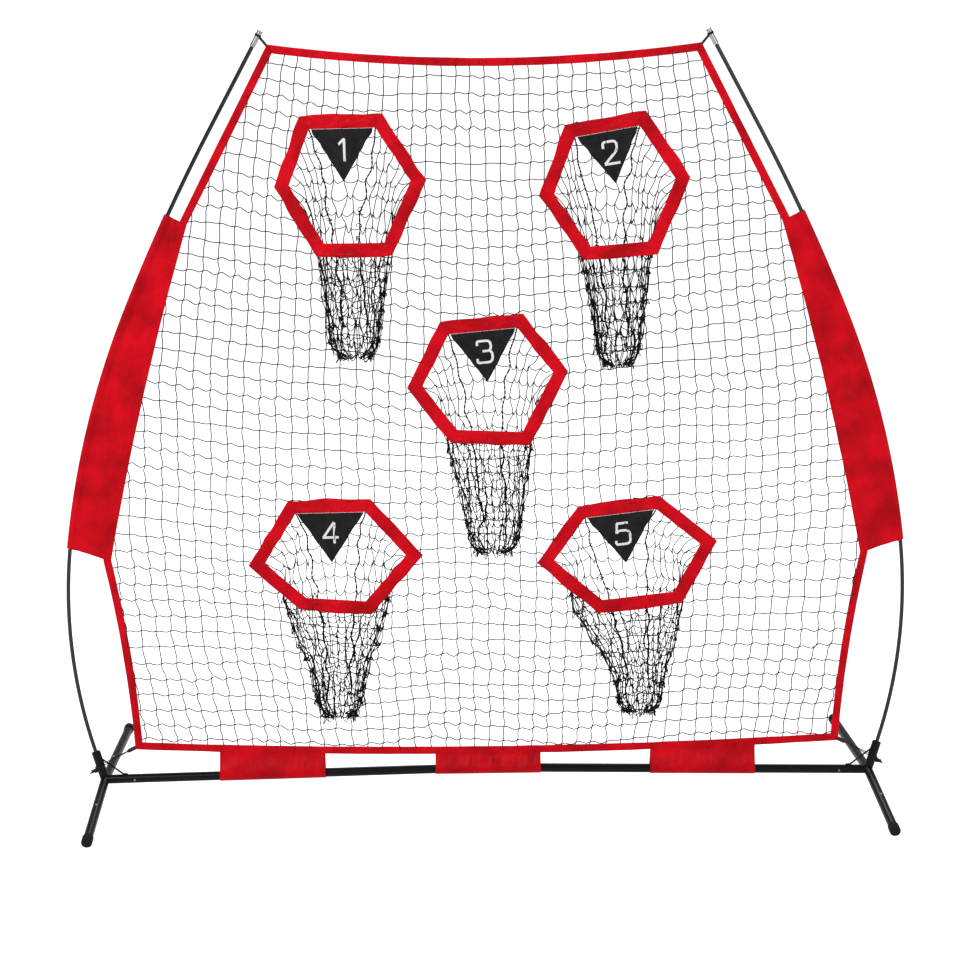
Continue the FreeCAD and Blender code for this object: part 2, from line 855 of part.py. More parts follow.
def loop_outline(radius, height, half_top):
    """A round bottom with two sides that run tangent from it up to the hem."""
    reach = math.hypot(half_top, height)
    swing = math.acos(radius / reach) + math.atan2(half_top, height)
    y = radius * math.sin(swing)
    z = radius * math.cos(swing)
    edges = [
        Part.LineSegment(Vector(0, -half_top, height), Vector(0, -y, z)).toShape(),
        Part.Arc(Vector(0, -y, z), Vector(0, 0, -radius), Vector(0, y, z)).toShape(),
        Part.LineSegment(Vector(0, y, z), Vector(0, half_top, height)).toShape(),
    ]
    if half_top > 0:
        edges.append(Part.LineSegment(Vector(0, half_top, height), Vector(0, -half_top, height)).toShape())
    return Part.Face(Part.Wire(edges))


def base_sleeve(position):
    """A fabric loop drawn up against the bar's underside.

    position is -1, 0 or 1 spacings from x = 0. The middle one spans the bar's bend."""
    centre_x = position * base_sleeve_spacing
    bar_z = bar_middle.z - abs(centre_x) * math.tan(bar_angle)
    bar_drop = 0.0 if position else base_sleeve_length / 2.0 * math.tan(bar_angle)
    middle_z = bar_z - bar_drop + base_loop_r - tube_r - base_loop_gap
    top = bottom_corner().z - middle_z
    outer = loop_outline(base_loop_r + base_loop_gauge, top, base_loop_gauge)
    inner = loop_outline(base_loop_r, top - base_loop_seam, 0.0)
    ring = outer.cut(inner)
    loop = ring.extrude(Vector(base_sleeve_length, 0, 0))
    loop.translate(Vector(-base_sleeve_length / 2.0, 0, 0))
    loop.rotate(Vector(0, 0, 0), Y_AXIS, math.degrees(bar_angle) * position)
    loop.translate(Vector(centre_x, 0, middle_z))
    inside_hem = plate(hem_faces()[0], hem_gauge * 2)
    return sorted(loop.cut(inside_hem).Solids, key=lambda solid: -solid.Volume)[0]


# Straps and cords at the corners
def top_strap():
    """Ring round the pole's tip and a flat band down to the net's corner."""
    at = pole_length - strap_ring_from_end
    centre = pole_point(at)
    along = pole_dir(at)
    bore_r = pole_r + ferrule_clearance + tip_wall + strap_ring_clearance
    outer_r = bore_r + strap_ring_gauge
    base = centre - along * (strap_width / 2.0)
    ring = tube(outer_r, bore_r, strap_width, base, along)
    corner = top_corner()
    reach = corner - centre
    out = reach.normalize()
    across = Vector(-out.z, 0, out.x)
    start = centre + out * (bore_r + strap_ring_gauge / 2.0)
    stop = corner
    side = across * (strap_width / 2.0)
    outline = [start - side, start + side, stop + side, stop - side, start - side]
    band = plate(Part.Face(Part.makePolygon(outline)), strap_gauge)
    bore = cylinder(bore_r, strap_width * 3, centre - along * (strap_width * 1.5), along)
    inside_hem = plate(hem_faces()[0], hem_gauge * 2)
    return fuse([ring, band]).cut([bore, inside_hem])


def hook_line():
    """Start and direction of the hook that leaves the net's bottom corner towards the hub."""
    corner = bottom_corner()
    anchor = hub + socket_dir * cord_height_on_socket + Y_AXIS * cord_behind
    direction = (anchor - corner).normalize()
    return corner, direction, anchor


def corner_hook():
    corner, direction, anchor = hook_line()
    start = corner + direction * (hem_width / 2.0)
    body = cylinder(hook_r, hook_length, start, direction)
    nose_start = start + direction * hook_length
    nose = Part.makeCone(hook_r, hook_nose_r, hook_nose_length, nose_start, direction)
    inside_hem = plate(hem_faces()[0], hem_gauge + hook_overlap_gap * 2)
    return fuse([body, nose]).cut(inside_hem)


def corner_cord():
    """Elastic cord from the hook to a loop round the pole socket."""
    corner, direction, anchor = hook_line()
    ring_r = tube_r + cord_ring_clearance + cord_r
    ring_centre = hub + socket_dir * cord_height_on_socket
    ring = Part.makeTorus(ring_r, cord_r, ring_centre, socket_dir)
    hook_end = hem_width / 2.0 + hook_length + hook_nose_length
    start = corner + direction * (hook_end + hook_overlap_gap)
    run = cylinder(cord_r, (anchor - start).Length, start, direction)
    clear_start = ring_centre - socket_dir * (cord_r * 4)
    clear = cylinder(ring_r - cord_ring_sink, cord_r * 8, clear_start, socket_dir)
    return fuse([ring, run.cut(clear)])


# Every sub-part by name. The left side is the right one mirrored.
parts = {}


def both_sides(name, shape):
    parts[name + "_right"] = shape
    parts[name + "_left"] = mirrored(shape)


def four_legs(name, front, rear):
    both_sides(name + "_front", front)
    both_sides(name + "_rear", rear)


both_sides("corner_hub", corner_hub())
four_legs("leg", leg(front_joint(), front_length), leg(rear_joint(), rear_length))
four_legs("snap_button", snap_button(*front_joint()), snap_button(*rear_joint()))
both_sides("snap_button_bar", snap_button(*bar_joint()))
parts["snap_button_middle"] = snap_button(*middle_joint())
right_caps = [foot_cap(front_dir, front_length), foot_cap(rear_dir, rear_length)]
parts["foot_caps"] = Part.Compound(right_caps + [mirrored(cap) for cap in right_caps])
right_springs = [button_spring(*joint) for joint in hub_joints()]
left_springs = [mirrored(spring) for spring in right_springs]
parts["button_springs"] = Part.Compound(right_springs + left_springs + [button_spring(*middle_joint())])
parts["base_bar_right"] = bar_right()
parts["base_bar_left"] = bar_left()
both_sides("wing_screw", wing_screw())
both_sides("pole_lower", pole_lower())
both_sides("pole_upper", pole_upper())
right_ferrule = pole_ferrule()
parts["pole_ferrules"] = Part.Compound([right_ferrule, mirrored(right_ferrule)])
both_sides("pole_tip", pole_tip())
parts["target_net"] = target_net()
parts.update(hems())
both_sides("pole_sleeve", pole_sleeve())
parts["base_sleeve_left"] = base_sleeve(-1)
parts["base_sleeve_middle"] = base_sleeve(0)
parts["base_sleeve_right"] = base_sleeve(1)
for number, pocket in enumerate(pockets, start=1):
    parts["pocket_band_%d" % number] = pocket_band(pocket)
    parts["pocket_net_%d" % number] = pocket_net(pocket)
    parts["number_flag_%d" % number] = number_flag(pocket)
both_sides("top_strap", top_strap())
both_sides("corner_hook", corner_hook())
both_sides("corner_cord", corner_cord())

for name, shape in parts.items():
    shape.translate(Vector(0, -footprint_shift, 0))
    shape.exportStep("parts/%s.step" % name)
    print(name, "solids", len(shape.Solids), "valid", shape.isValid(), "volume", round(shape.Volume / 1000.0, 2))
print("sub-parts:", len(parts))
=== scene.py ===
# %% [markdown]
# # Dressing a pitching target net
#
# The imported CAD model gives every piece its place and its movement. This notebook gives
# them their looks: netting drawn strand by strand, satin bands with folds, painted tube,
# gloss poles. Everything is in metres, in the CAD model's own frame.

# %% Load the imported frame
import math

import bpy
import numpy as np
from mathutils import Matrix


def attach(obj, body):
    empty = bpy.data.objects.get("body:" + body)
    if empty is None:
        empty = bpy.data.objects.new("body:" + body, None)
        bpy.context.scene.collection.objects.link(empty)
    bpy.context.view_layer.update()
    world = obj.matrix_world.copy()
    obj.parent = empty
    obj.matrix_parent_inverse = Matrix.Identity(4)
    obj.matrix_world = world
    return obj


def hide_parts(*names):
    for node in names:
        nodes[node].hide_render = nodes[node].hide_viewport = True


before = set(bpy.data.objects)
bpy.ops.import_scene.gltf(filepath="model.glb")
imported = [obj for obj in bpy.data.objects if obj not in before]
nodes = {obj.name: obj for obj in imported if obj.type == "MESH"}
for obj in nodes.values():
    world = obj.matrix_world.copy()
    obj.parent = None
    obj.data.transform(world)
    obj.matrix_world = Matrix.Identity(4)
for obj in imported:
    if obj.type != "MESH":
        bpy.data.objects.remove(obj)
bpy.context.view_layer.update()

# %% [markdown]
# ## The camera
#
# The photograph was taken from about six and a half metres, a little left of the middle
# and from above the net. Its direction is given as yaw, pitch and roll, and the three
# unit vectors that follow from them are the columns of the camera's matrix.

# %% Place the camera
CAMERA_PLACE = (-0.18258, -6.585, 2.28775)
CAMERA_TURN = (0.02732, 0.21294, -0.00472)
CAMERA_LENS = 89.84


def linked(name, data):
    """A new object in the scene, at the origin."""
    made = bpy.data.objects.new(name, data)
    bpy.context.scene.collection.objects.link(made)
    return made


def posed(right, up, back, place):
    """The matrix whose columns are an object's three directions and its place."""
    turn = np.eye(4)
    turn[:3] = np.stack([right, up, back, place], 1)
    return Matrix(turn.tolist())


def camera_axes(yaw, pitch, roll):
    """Right, up and forward: forward from yaw and pitch, the other two turned by roll."""
    forward = np.array([math.sin(yaw) * math.cos(pitch), math.cos(yaw) * math.cos(pitch),
                        -math.sin(pitch)])
    level = np.array([math.cos(yaw), -math.sin(yaw), 0.0])
    upright = np.cross(level, forward)
    right = math.cos(roll) * level + math.sin(roll) * upright
    up = math.cos(roll) * upright - math.sin(roll) * level
    return right, up, forward


camera = linked("camera", bpy.data.cameras.new("camera"))
right, up, forward = camera_axes(*CAMERA_TURN)
camera.matrix_world = posed(right, up, -forward, CAMERA_PLACE)
camera.data.lens = CAMERA_LENS
camera.data.sensor_width = 36.0
camera.data.sensor_fit = "HORIZONTAL"
camera.data.clip_start, camera.data.clip_end = 0.05, 1000.0
bpy.context.scene.camera = camera
print("camera at", CAMERA_PLACE, "with a lens of", CAMERA_LENS, "mm")

# %% [markdown]
# ## Materials: a few small helpers
#
# Colours are written as sRGB hex values, as a paint chart gives them, and turned to the
# linear values that the renderer mixes. One helper adds any node: its sockets are filled
# with plain values or with links, and its settings are set by name. All the finishes here
# mix two colours by a pattern and take a bump from one, so that is written once too.

# %% Colour and node helpers
def linear(hex_colour):
    """sRGB to linear: c / 12.92 for dark values, ((c + 0.055) / 1.055) ^ 2.4 for others."""
    c = np.array([int(hex_colour[k:k + 2], 16) for k in (1, 3, 5)]) / 255.0
    mixed = np.where(c <= 0.04045, c / 12.92, ((c + 0.055) / 1.055) ** 2.4)
    return (*mixed.tolist(), 1.0)


def new_material(name, **sockets):
    """A material whose Principled shader has these socket values."""
    made = bpy.data.materials.new(name)
    made.use_nodes = True
    for key, value in sockets.items():
        socket = made.node_tree.nodes["Principled BSDF"].inputs[key.replace("_", " ")]
        socket.default_value = value
    return made


def add(owner, kind, sockets=None, **settings):
    """Add a node. A socket's entry is either a value or the output that feeds it."""
    tree = owner.node_tree
    made = tree.nodes.new(kind)
    for key, value in settings.items():
        setattr(made, key, value)
    for key, value in (sockets or {}).items():
        if isinstance(value, bpy.types.NodeSocket):
            tree.links.new(value, made.inputs[key])
        else:
            made.inputs[key].default_value = value
    return made


def feed(made, socket, source):
    """Link an output to a socket of the material's Principled shader."""
    made.node_tree.links.new(source, made.node_tree.nodes["Principled BSDF"].inputs[socket])


def two_colours(made, share, colour, shade):
    """The base colour: colour where the share is 0 and shade where it is 1."""
    mixed = add(made, "ShaderNodeMix", {0: share, 6: linear(colour), 7: linear(shade)},
                data_type="RGBA")
    feed(made, "Base Color", mixed.outputs[2])


def bumpy(made, height, strength, distance):
    """A bump of this distance, in metres, where the height is 1."""
    bump = add(made, "ShaderNodeBump",
               {"Height": height, "Strength": strength, "Distance": distance})
    feed(made, "Normal", bump.outputs["Normal"])


def object_noise(made, place, **sockets):
    """The factor of a noise texture at a place."""
    return add(made, "ShaderNodeTexNoise", {"Vector": place, **sockets}).outputs["Fac"]


# %% [markdown]
# ## Satin polyester, coated flag cloth and webbing
#
# Woven cloth is drawn from two crossed waves, one for each thread direction, that read
# the piece's own UV map. The map is laid out in metres along and across the cloth, so a
# thread keeps its size on every piece. The real red satin has about 25 threads to the
# centimetre. That is too fine to show, so its threads are drawn 1.1 mm apart.

# %% Woven cloth
WAVE_PERIOD = 2 * math.pi / 20.0  # a Wave texture of scale 1 repeats at this distance


def woven(name, colour, shade, thread, relief, patch, **sockets):
    """Cloth: colour and shade mixed by a slow noise, bump from two crossed thread waves. On the red
    satin that mix is painted fold shade and painted sheen.
    """
    made = new_material(name, **sockets)
    cloth_map = add(made, "ShaderNodeUVMap", uv_map="cloth").outputs["UV"]
    warp, weft = (add(made, "ShaderNodeTexWave",
                      {"Vector": cloth_map, "Scale": WAVE_PERIOD / thread},
                      bands_direction=way).outputs["Fac"] for way in "XY")
    weave = add(made, "ShaderNodeMath", {0: warp, 1: weft}, operation="MULTIPLY")
    place = add(made, "ShaderNodeTexCoord").outputs["Object"]
    slow = object_noise(made, place, Scale=1.0 / patch, Detail=4.0)
    # The slow mix is tone; on the red satin its darker and lighter patches are painted fold shade
    # and painted sheen.
    tone_and_painted_shade = add(made, "ShaderNodeMapRange",
                  {"Value": slow, "From Min": 0.36, "From Max": 0.66})
    two_colours(made, tone_and_painted_shade.outputs["Result"], colour, shade)
    bumpy(made, weave.outputs[0], relief, 0.0004)
    return made


# Bright red satin: glossy threads, so the folds show as streaks of light. Its slow darker and
# lighter patches are painted fold shade and painted sheen.
red_satin = woven(
    "red_satin_polyester", "#d40218", "#aa000f", 0.0011, 0.35, 0.07,
    Roughness=0.34, IOR=1.5, Specular_IOR_Level=0.09)

# Black coated polyester of the flags: a thin film over a coarse weave, so it shines a bit
flag_cloth = woven(
    "coated_flag_polyester", "#0b0b0c", "#1a1a1c", 0.0013, 0.5, 0.03,
    Roughness=0.42, IOR=1.5, Specular_IOR_Level=0.18, Coat_Weight=0.05, Coat_Roughness=0.4)

# Polypropylene webbing: thick ribbed threads, matt
webbing = woven(
    "polypropylene_webbing", "#0e0e0f", "#1b1b1c", 0.0018, 0.9, 0.02,
    Roughness=0.75, IOR=1.49)

# Braided elastic: fine crossed threads over rubber
elastic = woven(
    "braided_elastic", "#0c0c0d", "#1d1d1e", 0.0012, 0.9, 0.01,
    Roughness=0.8, IOR=1.5)

# %% [markdown]
# ## Twine, ink and rigid finishes
#
# The netting is knotless twine, spun from black polyester. Its twist is a wave across the
# map of each strand. Painted steel has the orange peel of powder coat, the poles are
# pultruded glass fibre with faint lengthways streaks under a gloss lacquer, and the pole
# tips are drawn aluminium.

# %% Twine and ink
black_twine = new_material(
    "spun_polyester_twine", Roughness=0.7, IOR=1.5, Specular_IOR_Level=0.2)
strand_map = add(black_twine, "ShaderNodeUVMap", uv_map="cloth").outputs["UV"]
twist = add(black_twine, "ShaderNodeTexWave",
            {"Vector": strand_map, "Scale": WAVE_PERIOD / 0.003, "Distortion": 1.0},
            bands_direction="DIAGONAL").outputs["Fac"]
two_colours(black_twine, twist, "#060607", "#121213")
bumpy(black_twine, twist, 0.6, 0.0003)

# Screen printing ink: matt, a little broken where the weave is deep
print_ink = new_material("screen_print_ink", Roughness=0.6, IOR=1.45)
place = add(print_ink, "ShaderNodeTexCoord").outputs["Object"]
two_colours(print_ink, object_noise(print_ink, place, Scale=900.0), "#f0f0f1", "#cfd0d2")


# %% Rigid finishes
def mottled(name, colour, shade, grain, relief, rough, rough_spread, stretch=(1, 1, 1),
            **sockets):
    """A rigid finish: one noise mixes two colours, moves the roughness and gives a bump.

    grain is the size of the noise's lumps in metres, stretch scales it along X, Y, Z."""
    made = new_material(name, **sockets)
    place = add(made, "ShaderNodeTexCoord").outputs["Object"]
    mapped = add(made, "ShaderNodeMapping", {"Vector": place, "Scale": stretch})
    lumps = object_noise(made, mapped.outputs[0], Scale=1.0 / grain, Detail=3.0)
    two_colours(made, lumps, colour, shade)
    spread = add(made, "ShaderNodeMapRange", {
        "Value": lumps, "To Min": rough - rough_spread, "To Max": rough + rough_spread})
    feed(made, "Roughness", spread.outputs["Result"])
    bumpy(made, lumps, relief, 0.0005)
    return made


# Powder coat: baked paint with an orange peel of about 2 mm
powder_coat = mottled("powder_coated_steel", "#08090a", "#101112", 0.002, 0.25, 0.30, 0.08,
                      IOR=1.5, Specular_IOR_Level=0.20)
# Pultruded glass fibre: long streaks of fibre under a glossy skin
pole_gloss = mottled("pultruded_fibreglass", "#060607", "#0e0e10", 0.004, 0.12, 0.24, 0.06,
                     stretch=(1, 1, 0.08), IOR=1.52, Coat_Weight=0.3, Coat_Roughness=0.15)
# Drawn aluminium: bright, with fine lengthways scratches
aluminium = mottled("drawn_aluminium", "#d6d7da", "#b4b6ba", 0.0012, 0.2, 0.3, 0.08,
                    stretch=(1, 1, 0.15), Metallic=1.0)
# Zinc plated spring steel of the snap buttons
zinc = mottled("zinc_plated_steel", "#c2c4c8", "#989ba1", 0.001, 0.15, 0.28, 0.08,
               Metallic=1.0)
# Moulded rubber of the end caps: matt and a little dusty
rubber = mottled("moulded_rubber", "#0d0d0e", "#191919", 0.0015, 0.4, 0.72, 0.08, IOR=1.5,
                 Specular_IOR_Level=0.25)
# Moulded nylon of the hooks and the wing screws' heads
nylon = mottled("moulded_nylon", "#101011", "#1a1a1b", 0.0012, 0.25, 0.45, 0.06, IOR=1.53)
print("materials:", len(bpy.data.materials))

# %% [markdown]
# ## Meshes from arrays
#
# Every new surface is a grid of points worked out with numpy. The faces of a grid follow
# from its size alone, and the same numbers give its UV map, laid out in metres.

# %% Grids and smooth noise
def grid(rows, columns, wrap_rows=False, wrap_columns=False):
    """Quads between neighbours of a grid numbered row by row, and each corner's place."""
    r = np.arange(rows if wrap_rows else rows - 1)
    c = np.arange(columns if wrap_columns else columns - 1)
    r, c = (x.ravel() for x in np.meshgrid(r, c, indexing="ij"))
    corner_rows = np.stack([r, r, r + 1, r + 1], 1)
    corner_columns = np.stack([c, c + 1, c + 1, c], 1)
    faces = (corner_rows % rows) * columns + corner_columns % columns
    return faces, corner_rows, corner_columns


def make_piece(name, points, faces, cloth_map, material, extra=()):
    """A mesh object from points (n, 3), quads (m, 4) and a map place per quad corner.

    extra are the faces that have no place on the map, such as the caps of a tube."""
    points = points.reshape(-1, 3)
    extra = [list(face) for face in extra]
    data = bpy.data.meshes.new(name)
    data.from_pydata(points.tolist(), [], faces.tolist() + extra)
    unmapped = sum(len(face) for face in extra)
    places = np.concatenate([cloth_map.reshape(-1, 2), np.zeros((unmapped, 2))])
    layer = data.uv_layers.new(name="cloth")
    layer.data.foreach_set("uv", places.reshape(-1).astype(np.float32))
    data.polygons.foreach_set("use_smooth", np.full(len(data.polygons), True))
    data.materials.append(material)
    return linked(name, data)


def along(points):
    """Distance along a line of points, from its first one."""
    steps = np.linalg.norm(np.diff(points, axis=0), axis=1)
    return np.concatenate([[0.0], np.cumsum(steps)])


def at_distance(points, at):
    """The line's points at these distances from its first one."""
    far = along(points)
    return np.stack([np.interp(at, far, points[:, k]) for k in range(points.shape[1])], 1)


def spaced(points, count):
    """The same line with evenly spaced points."""
    return at_distance(points, np.linspace(0.0, along(points)[-1], count))


def round_trip(corners, per_side):
    """The closed line through the corners, with so many points on each side."""
    f = np.linspace(0, 1, per_side, endpoint=False)[:, None]
    return np.concatenate([p + (q - p) * f for p, q in zip(corners, np.roll(corners, -1, 0))])


def runs(keep, least):
    """Start and end of each stretch of at least so many true values."""
    change = np.flatnonzero(np.diff(np.concatenate([[0], keep.astype(int), [0]])))
    return [(a, b) for a, b in zip(change[::2], change[1::2]) if b - a >= least]


def unit(vectors):
    """Vectors divided by their lengths."""
    return vectors / np.linalg.norm(vectors, axis=-1, keepdims=True)


def ripple(points, size, seed, waves=9):
    """Smooth noise from -1 to 1: sine waves of about one size, in random directions."""
    random = np.random.default_rng(seed)
    ways = unit(random.normal(size=(waves, points.shape[-1])))
    lengths = size * random.uniform(0.7, 1.5, waves)
    phase = points @ (ways / lengths[:, None]).T * (2 * math.pi)
    phase = phase + random.uniform(0, 2 * math.pi, waves)
    return np.sin(phase).sum(-1) / math.sqrt(waves)


def folds(points, size, seed):
    """Creases: the ridge of a smooth noise, sharp at its top and flat in between."""
    return (1.0 - np.abs(ripple(points, size, seed))).clip(0.0, 1.0) ** 2


def tubes(lines, radius, sides, across):
    """Round strands: a circle of points round each point of a line, and a cap at its ends.

    The circle lies in the plane of two vectors square to the line. The first one is the
    line's direction crossed with across, which is never parallel to the line."""
    points, faces, maps, caps = [], [], [], []
    first = 0
    angle = np.linspace(0, 2 * math.pi, sides, endpoint=False)
    for line in lines:
        way = unit(np.gradient(line, axis=0))
        side = unit(np.cross(way, across))
        other = np.cross(way, side)
        ring = side[:, None] * np.cos(angle)[:, None] + other[:, None] * np.sin(angle)[:, None]
        points.append((line[:, None] + ring * radius).reshape(-1, 3))
        quads, rows, columns = grid(len(line), sides, wrap_columns=True)
        faces.append(quads + first)
        far = along(line)
        maps.append(np.stack([far[rows], columns * (2 * math.pi * radius / sides)], -1))
        caps.append(np.arange(sides)[::-1] + first)
        first += len(line) * sides
        caps.append(np.arange(first - sides, first))
    return np.concatenate(points), np.concatenate(faces), np.concatenate(maps), np.array(caps)


def settle(piece, *replaced, body="frame", slot=None):
    """Ride on a body and stand for CAD nodes. slot is not used."""
    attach(piece, body)
    if replaced:
        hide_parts(*replaced)
    return piece


# %% [markdown]
# ## The outline that the poles give the net
#
# Each pole is a straight stretch in its socket, three arcs that bend inwards and a
# straight end. The hems follow from it: the top corners hang from the poles' tips, the
# sides run a sleeve's width inside the poles, and the bottom corners are tied to the hubs.

# %% Poles and hems
NET_Y = -0.085
HUB = np.array([1.076, 0.049])
SOCKET_LEAN = math.radians(16.0)
POLE_START = 0.022
POLE_RUNS = [(0.070, None), (0.610, 1.460), (0.640, 2.465), (0.550, 5.270), (0.295, None)]
POLE_LENGTH = sum(length for length, radius in POLE_RUNS)
HEM_WIDTH = 0.022
SLEEVE_LOW, SLEEVE_HIGH = 0.655, 1.619


def pole_line(distance):
    """Centre (x, z) and lean of the right pole at distances from its foot.

    An arc of radius R turns the lean by run / R, and moves the point by R times the
    difference of the leans' cosines and sines."""
    distance = np.asarray(distance, float)
    x = HUB[0] + POLE_START * math.sin(SOCKET_LEAN)
    z = HUB[1] + POLE_START * math.cos(SOCKET_LEAN)
    lean = np.full(distance.shape, SOCKET_LEAN)
    before = 0.0
    for length, radius in POLE_RUNS:
        run = (distance - before).clip(0.0, length)
        if radius is None:
            x, z = x + run * np.sin(lean), z + run * np.cos(lean)
        else:
            turned = lean - run / radius
            x = x + radius * (np.cos(turned) - np.cos(lean))
            z = z + radius * (np.sin(lean) - np.sin(turned))
            lean = turned
        before += length
    return np.stack([x, z], -1), lean


def beside_pole(distance, gap):
    """The point that lies a gap inwards from the pole, square to it."""
    centre, lean = pole_line(distance)
    return centre + np.stack([-np.cos(lean), np.sin(lean)], -1) * gap


def arc_through(a, b, c, count):
    """Points from a to c on the circle through a, b and c, whose centre is equally far."""
    a, b, c = (np.asarray(p, float) for p in (a, b, c))
    chords = np.array([b - a, c - b])
    levels = 0.5 * np.array([b @ b - a @ a, c @ c - b @ b])
    centre = np.linalg.solve(chords, levels)
    rays = np.array([a, b, c]) - centre
    angles = np.unwrap(np.arctan2(rays[:, 1], rays[:, 0]))
    swept = np.linspace(angles[0], angles[2], count)
    return centre + np.linalg.norm(rays[0]) * np.stack([np.cos(swept), np.sin(swept)], 1)


tip = pole_line(POLE_LENGTH)[0]
top_corner = tip - [0.024, 0.044]
bottom_corner = HUB + [-0.098, 0.097]
sleeve_high = beside_pole(SLEEVE_HIGH, 0.035 + HEM_WIDTH / 2)
sleeve_mid = beside_pole((SLEEVE_LOW + SLEEVE_HIGH) / 2, 0.094 + HEM_WIDTH / 2)
sleeve_low = beside_pole(SLEEVE_LOW, 0.090 + HEM_WIDTH / 2) - [0.0, 0.022]
bow = (sleeve_low + bottom_corner) / 2 - [0.010, 0.0]
mirror = np.array([-1.0, 1.0])

sleeve_side = arc_through(sleeve_high, sleeve_mid, sleeve_low, 80)
side_line = np.concatenate([
    np.linspace(top_corner, sleeve_high, 60)[:-1],
    sleeve_side[:-1],
    arc_through(sleeve_low, bow, bottom_corner, 60),
])
top_line = arc_through(top_corner * mirror, (0.0, top_corner[1] - 0.037), top_corner, 120)
bottom_line = arc_through(bottom_corner, (0.0, bottom_corner[1] - 0.025),
                          bottom_corner * mirror, 160)
outline = np.concatenate([
    top_line[:-1], side_line[:-1], bottom_line[:-1], (side_line * mirror)[::-1][:-1]])
print("net outline:", round(float(np.ptp(outline[:, 0])), 3), "x",
      round(float(np.ptp(outline[:, 1])), 3), "m")

# %% [markdown]
# ## Pocket mouths
#
# Each mouth is a hexagon pulled out of shape by its net. Its corners are the CAD model's
# own, clockwise from the top left. Moving them in by the band's width gives the opening.
# throat holds the bag's shift, half width and the lean of its back wall under the mouth,
# end its bottom.

# %% Pocket sizes
BAND_WIDTH = 0.036
POCKETS = [
    {"centre": (-0.364, 1.706), "throat": (0.000, 0.110, -0.031),
     "end": (-0.358, 1.228), "end_half": 0.070,
     "corners": [(-130, 185), (90, 189), (205, 13), (114, -190), (-92, -191), (-201, -3)]},
    {"centre": (0.344, 1.700), "throat": (-0.006, 0.108, -0.016),
     "end": (0.363, 1.202), "end_half": 0.062,
     "corners": [(-131, 162), (85, 199), (207, 22), (121, -184), (-79, -200), (-200, -26)]},
    {"centre": (0.002, 1.176), "throat": (0.000, 0.132, -0.012),
     "end": (0.021, 0.674), "end_half": 0.074,
     "corners": [(-127, 160), (98, 180), (223, 22), (118, -182), (-101, -173), (-218, -20)]},
    {"centre": (-0.424, 0.683), "throat": (0.000, 0.158, -0.006),
     "end": (-0.416, 0.204), "end_half": 0.068,
     "corners": [(-122, 161), (104, 164), (248, 4), (102, -163), (-93, -149), (-236, -21)]},
    {"centre": (0.388, 0.685), "throat": (-0.024, 0.172, -0.006),
     "end": (0.430, 0.204), "end_half": 0.066,
     "corners": [(-137, 136), (90, 162), (249, 33), (154, -144), (-80, -170), (-250, -24)]},
]


def inset(corners, width):
    """Corners moved inwards: along the sum of the two sides' normals, over 1 + their dot."""
    ahead = unit(np.roll(corners, -1, 0) - corners)
    normal = np.stack([ahead[:, 1], -ahead[:, 0]], 1)
    before = np.roll(normal, 1, 0)
    shift = (normal + before) / (1.0 + (normal * before).sum(1, keepdims=True))
    return corners + shift * width


for pocket in POCKETS:
    pocket["outer"] = np.array(pocket["centre"]) + np.array(pocket["corners"]) / 1000.0
    pocket["mouth"] = inset(pocket["outer"], BAND_WIDTH)


def inside(points, polygon):
    """Even-odd rule: a point is inside if a ray from it crosses the outline oddly often."""
    x, z = points[:, 0, None], points[:, 1, None]
    ax, az = polygon[:, 0], polygon[:, 1]
    bx, bz = np.roll(ax, -1), np.roll(az, -1)
    spans = (az > z) != (bz > z)
    rise = np.where(bz == az, 1e-12, bz - az)
    return (spans & (x < ax + (z - az) / rise * (bx - ax))).sum(1) % 2 == 1


# %% [markdown]
# ## The net panel
#
# A net is a lattice: position (i, j) counts meshes across from the middle and down from
# the top. One function maps it to the picture plane. Meshes are 45 mm, drawn closer at
# the top, rows hang lower in the middle than at the hems, and the crossings of knotless
# twine twist a little, so each side of a mesh is a flat S. Rows and columns are then
# sampled from that function and cut where they run under a hem or a band.

# %% Lattice of the net panel
PITCH_HEIGHTS = [0.12, 0.40, 0.75, 1.10, 1.60, 2.05]
PITCH_ACROSS = [0.0415, 0.0436, 0.0447, 0.0443, 0.0414, 0.0382]
ROW_HEIGHTS = 1.990 - np.concatenate([[-0.088, -0.044, 0.0], np.cumsum(
    np.interp(np.arange(46), [0, 12, 24, 36, 45], [0.0445, 0.0446, 0.0446, 0.0425, 0.0412]))])
SAG_HEIGHTS = [0.12, 0.35, 0.80, 1.30, 1.75, 2.05]
SAG = [0.025, 0.034, 0.072, 0.096, 0.070, 0.040]
PULL, PULL_REACH = 0.010, 0.26  # how far a pocket's weight pulls its rows down
TWINE_R = 0.0015
SAMPLES = 4


def panel(i, j):
    """World place of lattice position (i, j): pitch, sag, pockets' pull, slack and twist."""
    level = np.interp(j, np.arange(len(ROW_HEIGHTS)) - 2.0, ROW_HEIGHTS)
    x = i * np.interp(level, PITCH_HEIGHTS, PITCH_ACROSS)
    half = np.interp(level, side_line[::-1, 1], side_line[::-1, 0])
    z = level + np.interp(level, SAG_HEIGHTS, SAG) * np.abs(x / half) ** 1.7
    at = np.stack([i, j], -1)
    for pocket in POCKETS:
        cx, cz = pocket["centre"]
        far = ((x - cx) / PULL_REACH) ** 2 + ((z - cz - 0.12) / PULL_REACH) ** 2
        z = z - PULL * np.exp(-far)
    low = np.interp(level, [0.2, 1.2, 1.9], [1.0, 0.7, 0.6])
    x = x + 0.0050 * ripple(at, 14.0, 3) + 0.0026 * low * ripple(at, 2.6, 5)
    z = z + 0.0075 * ripple(at, 12.0, 4) + 0.0030 * low * ripple(at, 2.6, 6)
    twist = 0.0030 + 0.0016 * ripple(at, 5.0, 7)
    x = x - 0.6 * twist * low * np.sin(2 * math.pi * j)
    z = z + twist * np.sin(2 * math.pi * i) - 0.0016 * low * np.sin(math.pi * i) ** 2
    y = NET_Y + 0.0007 * ripple(at, 5.0, 8)
    return np.stack([x, y, z], -1)


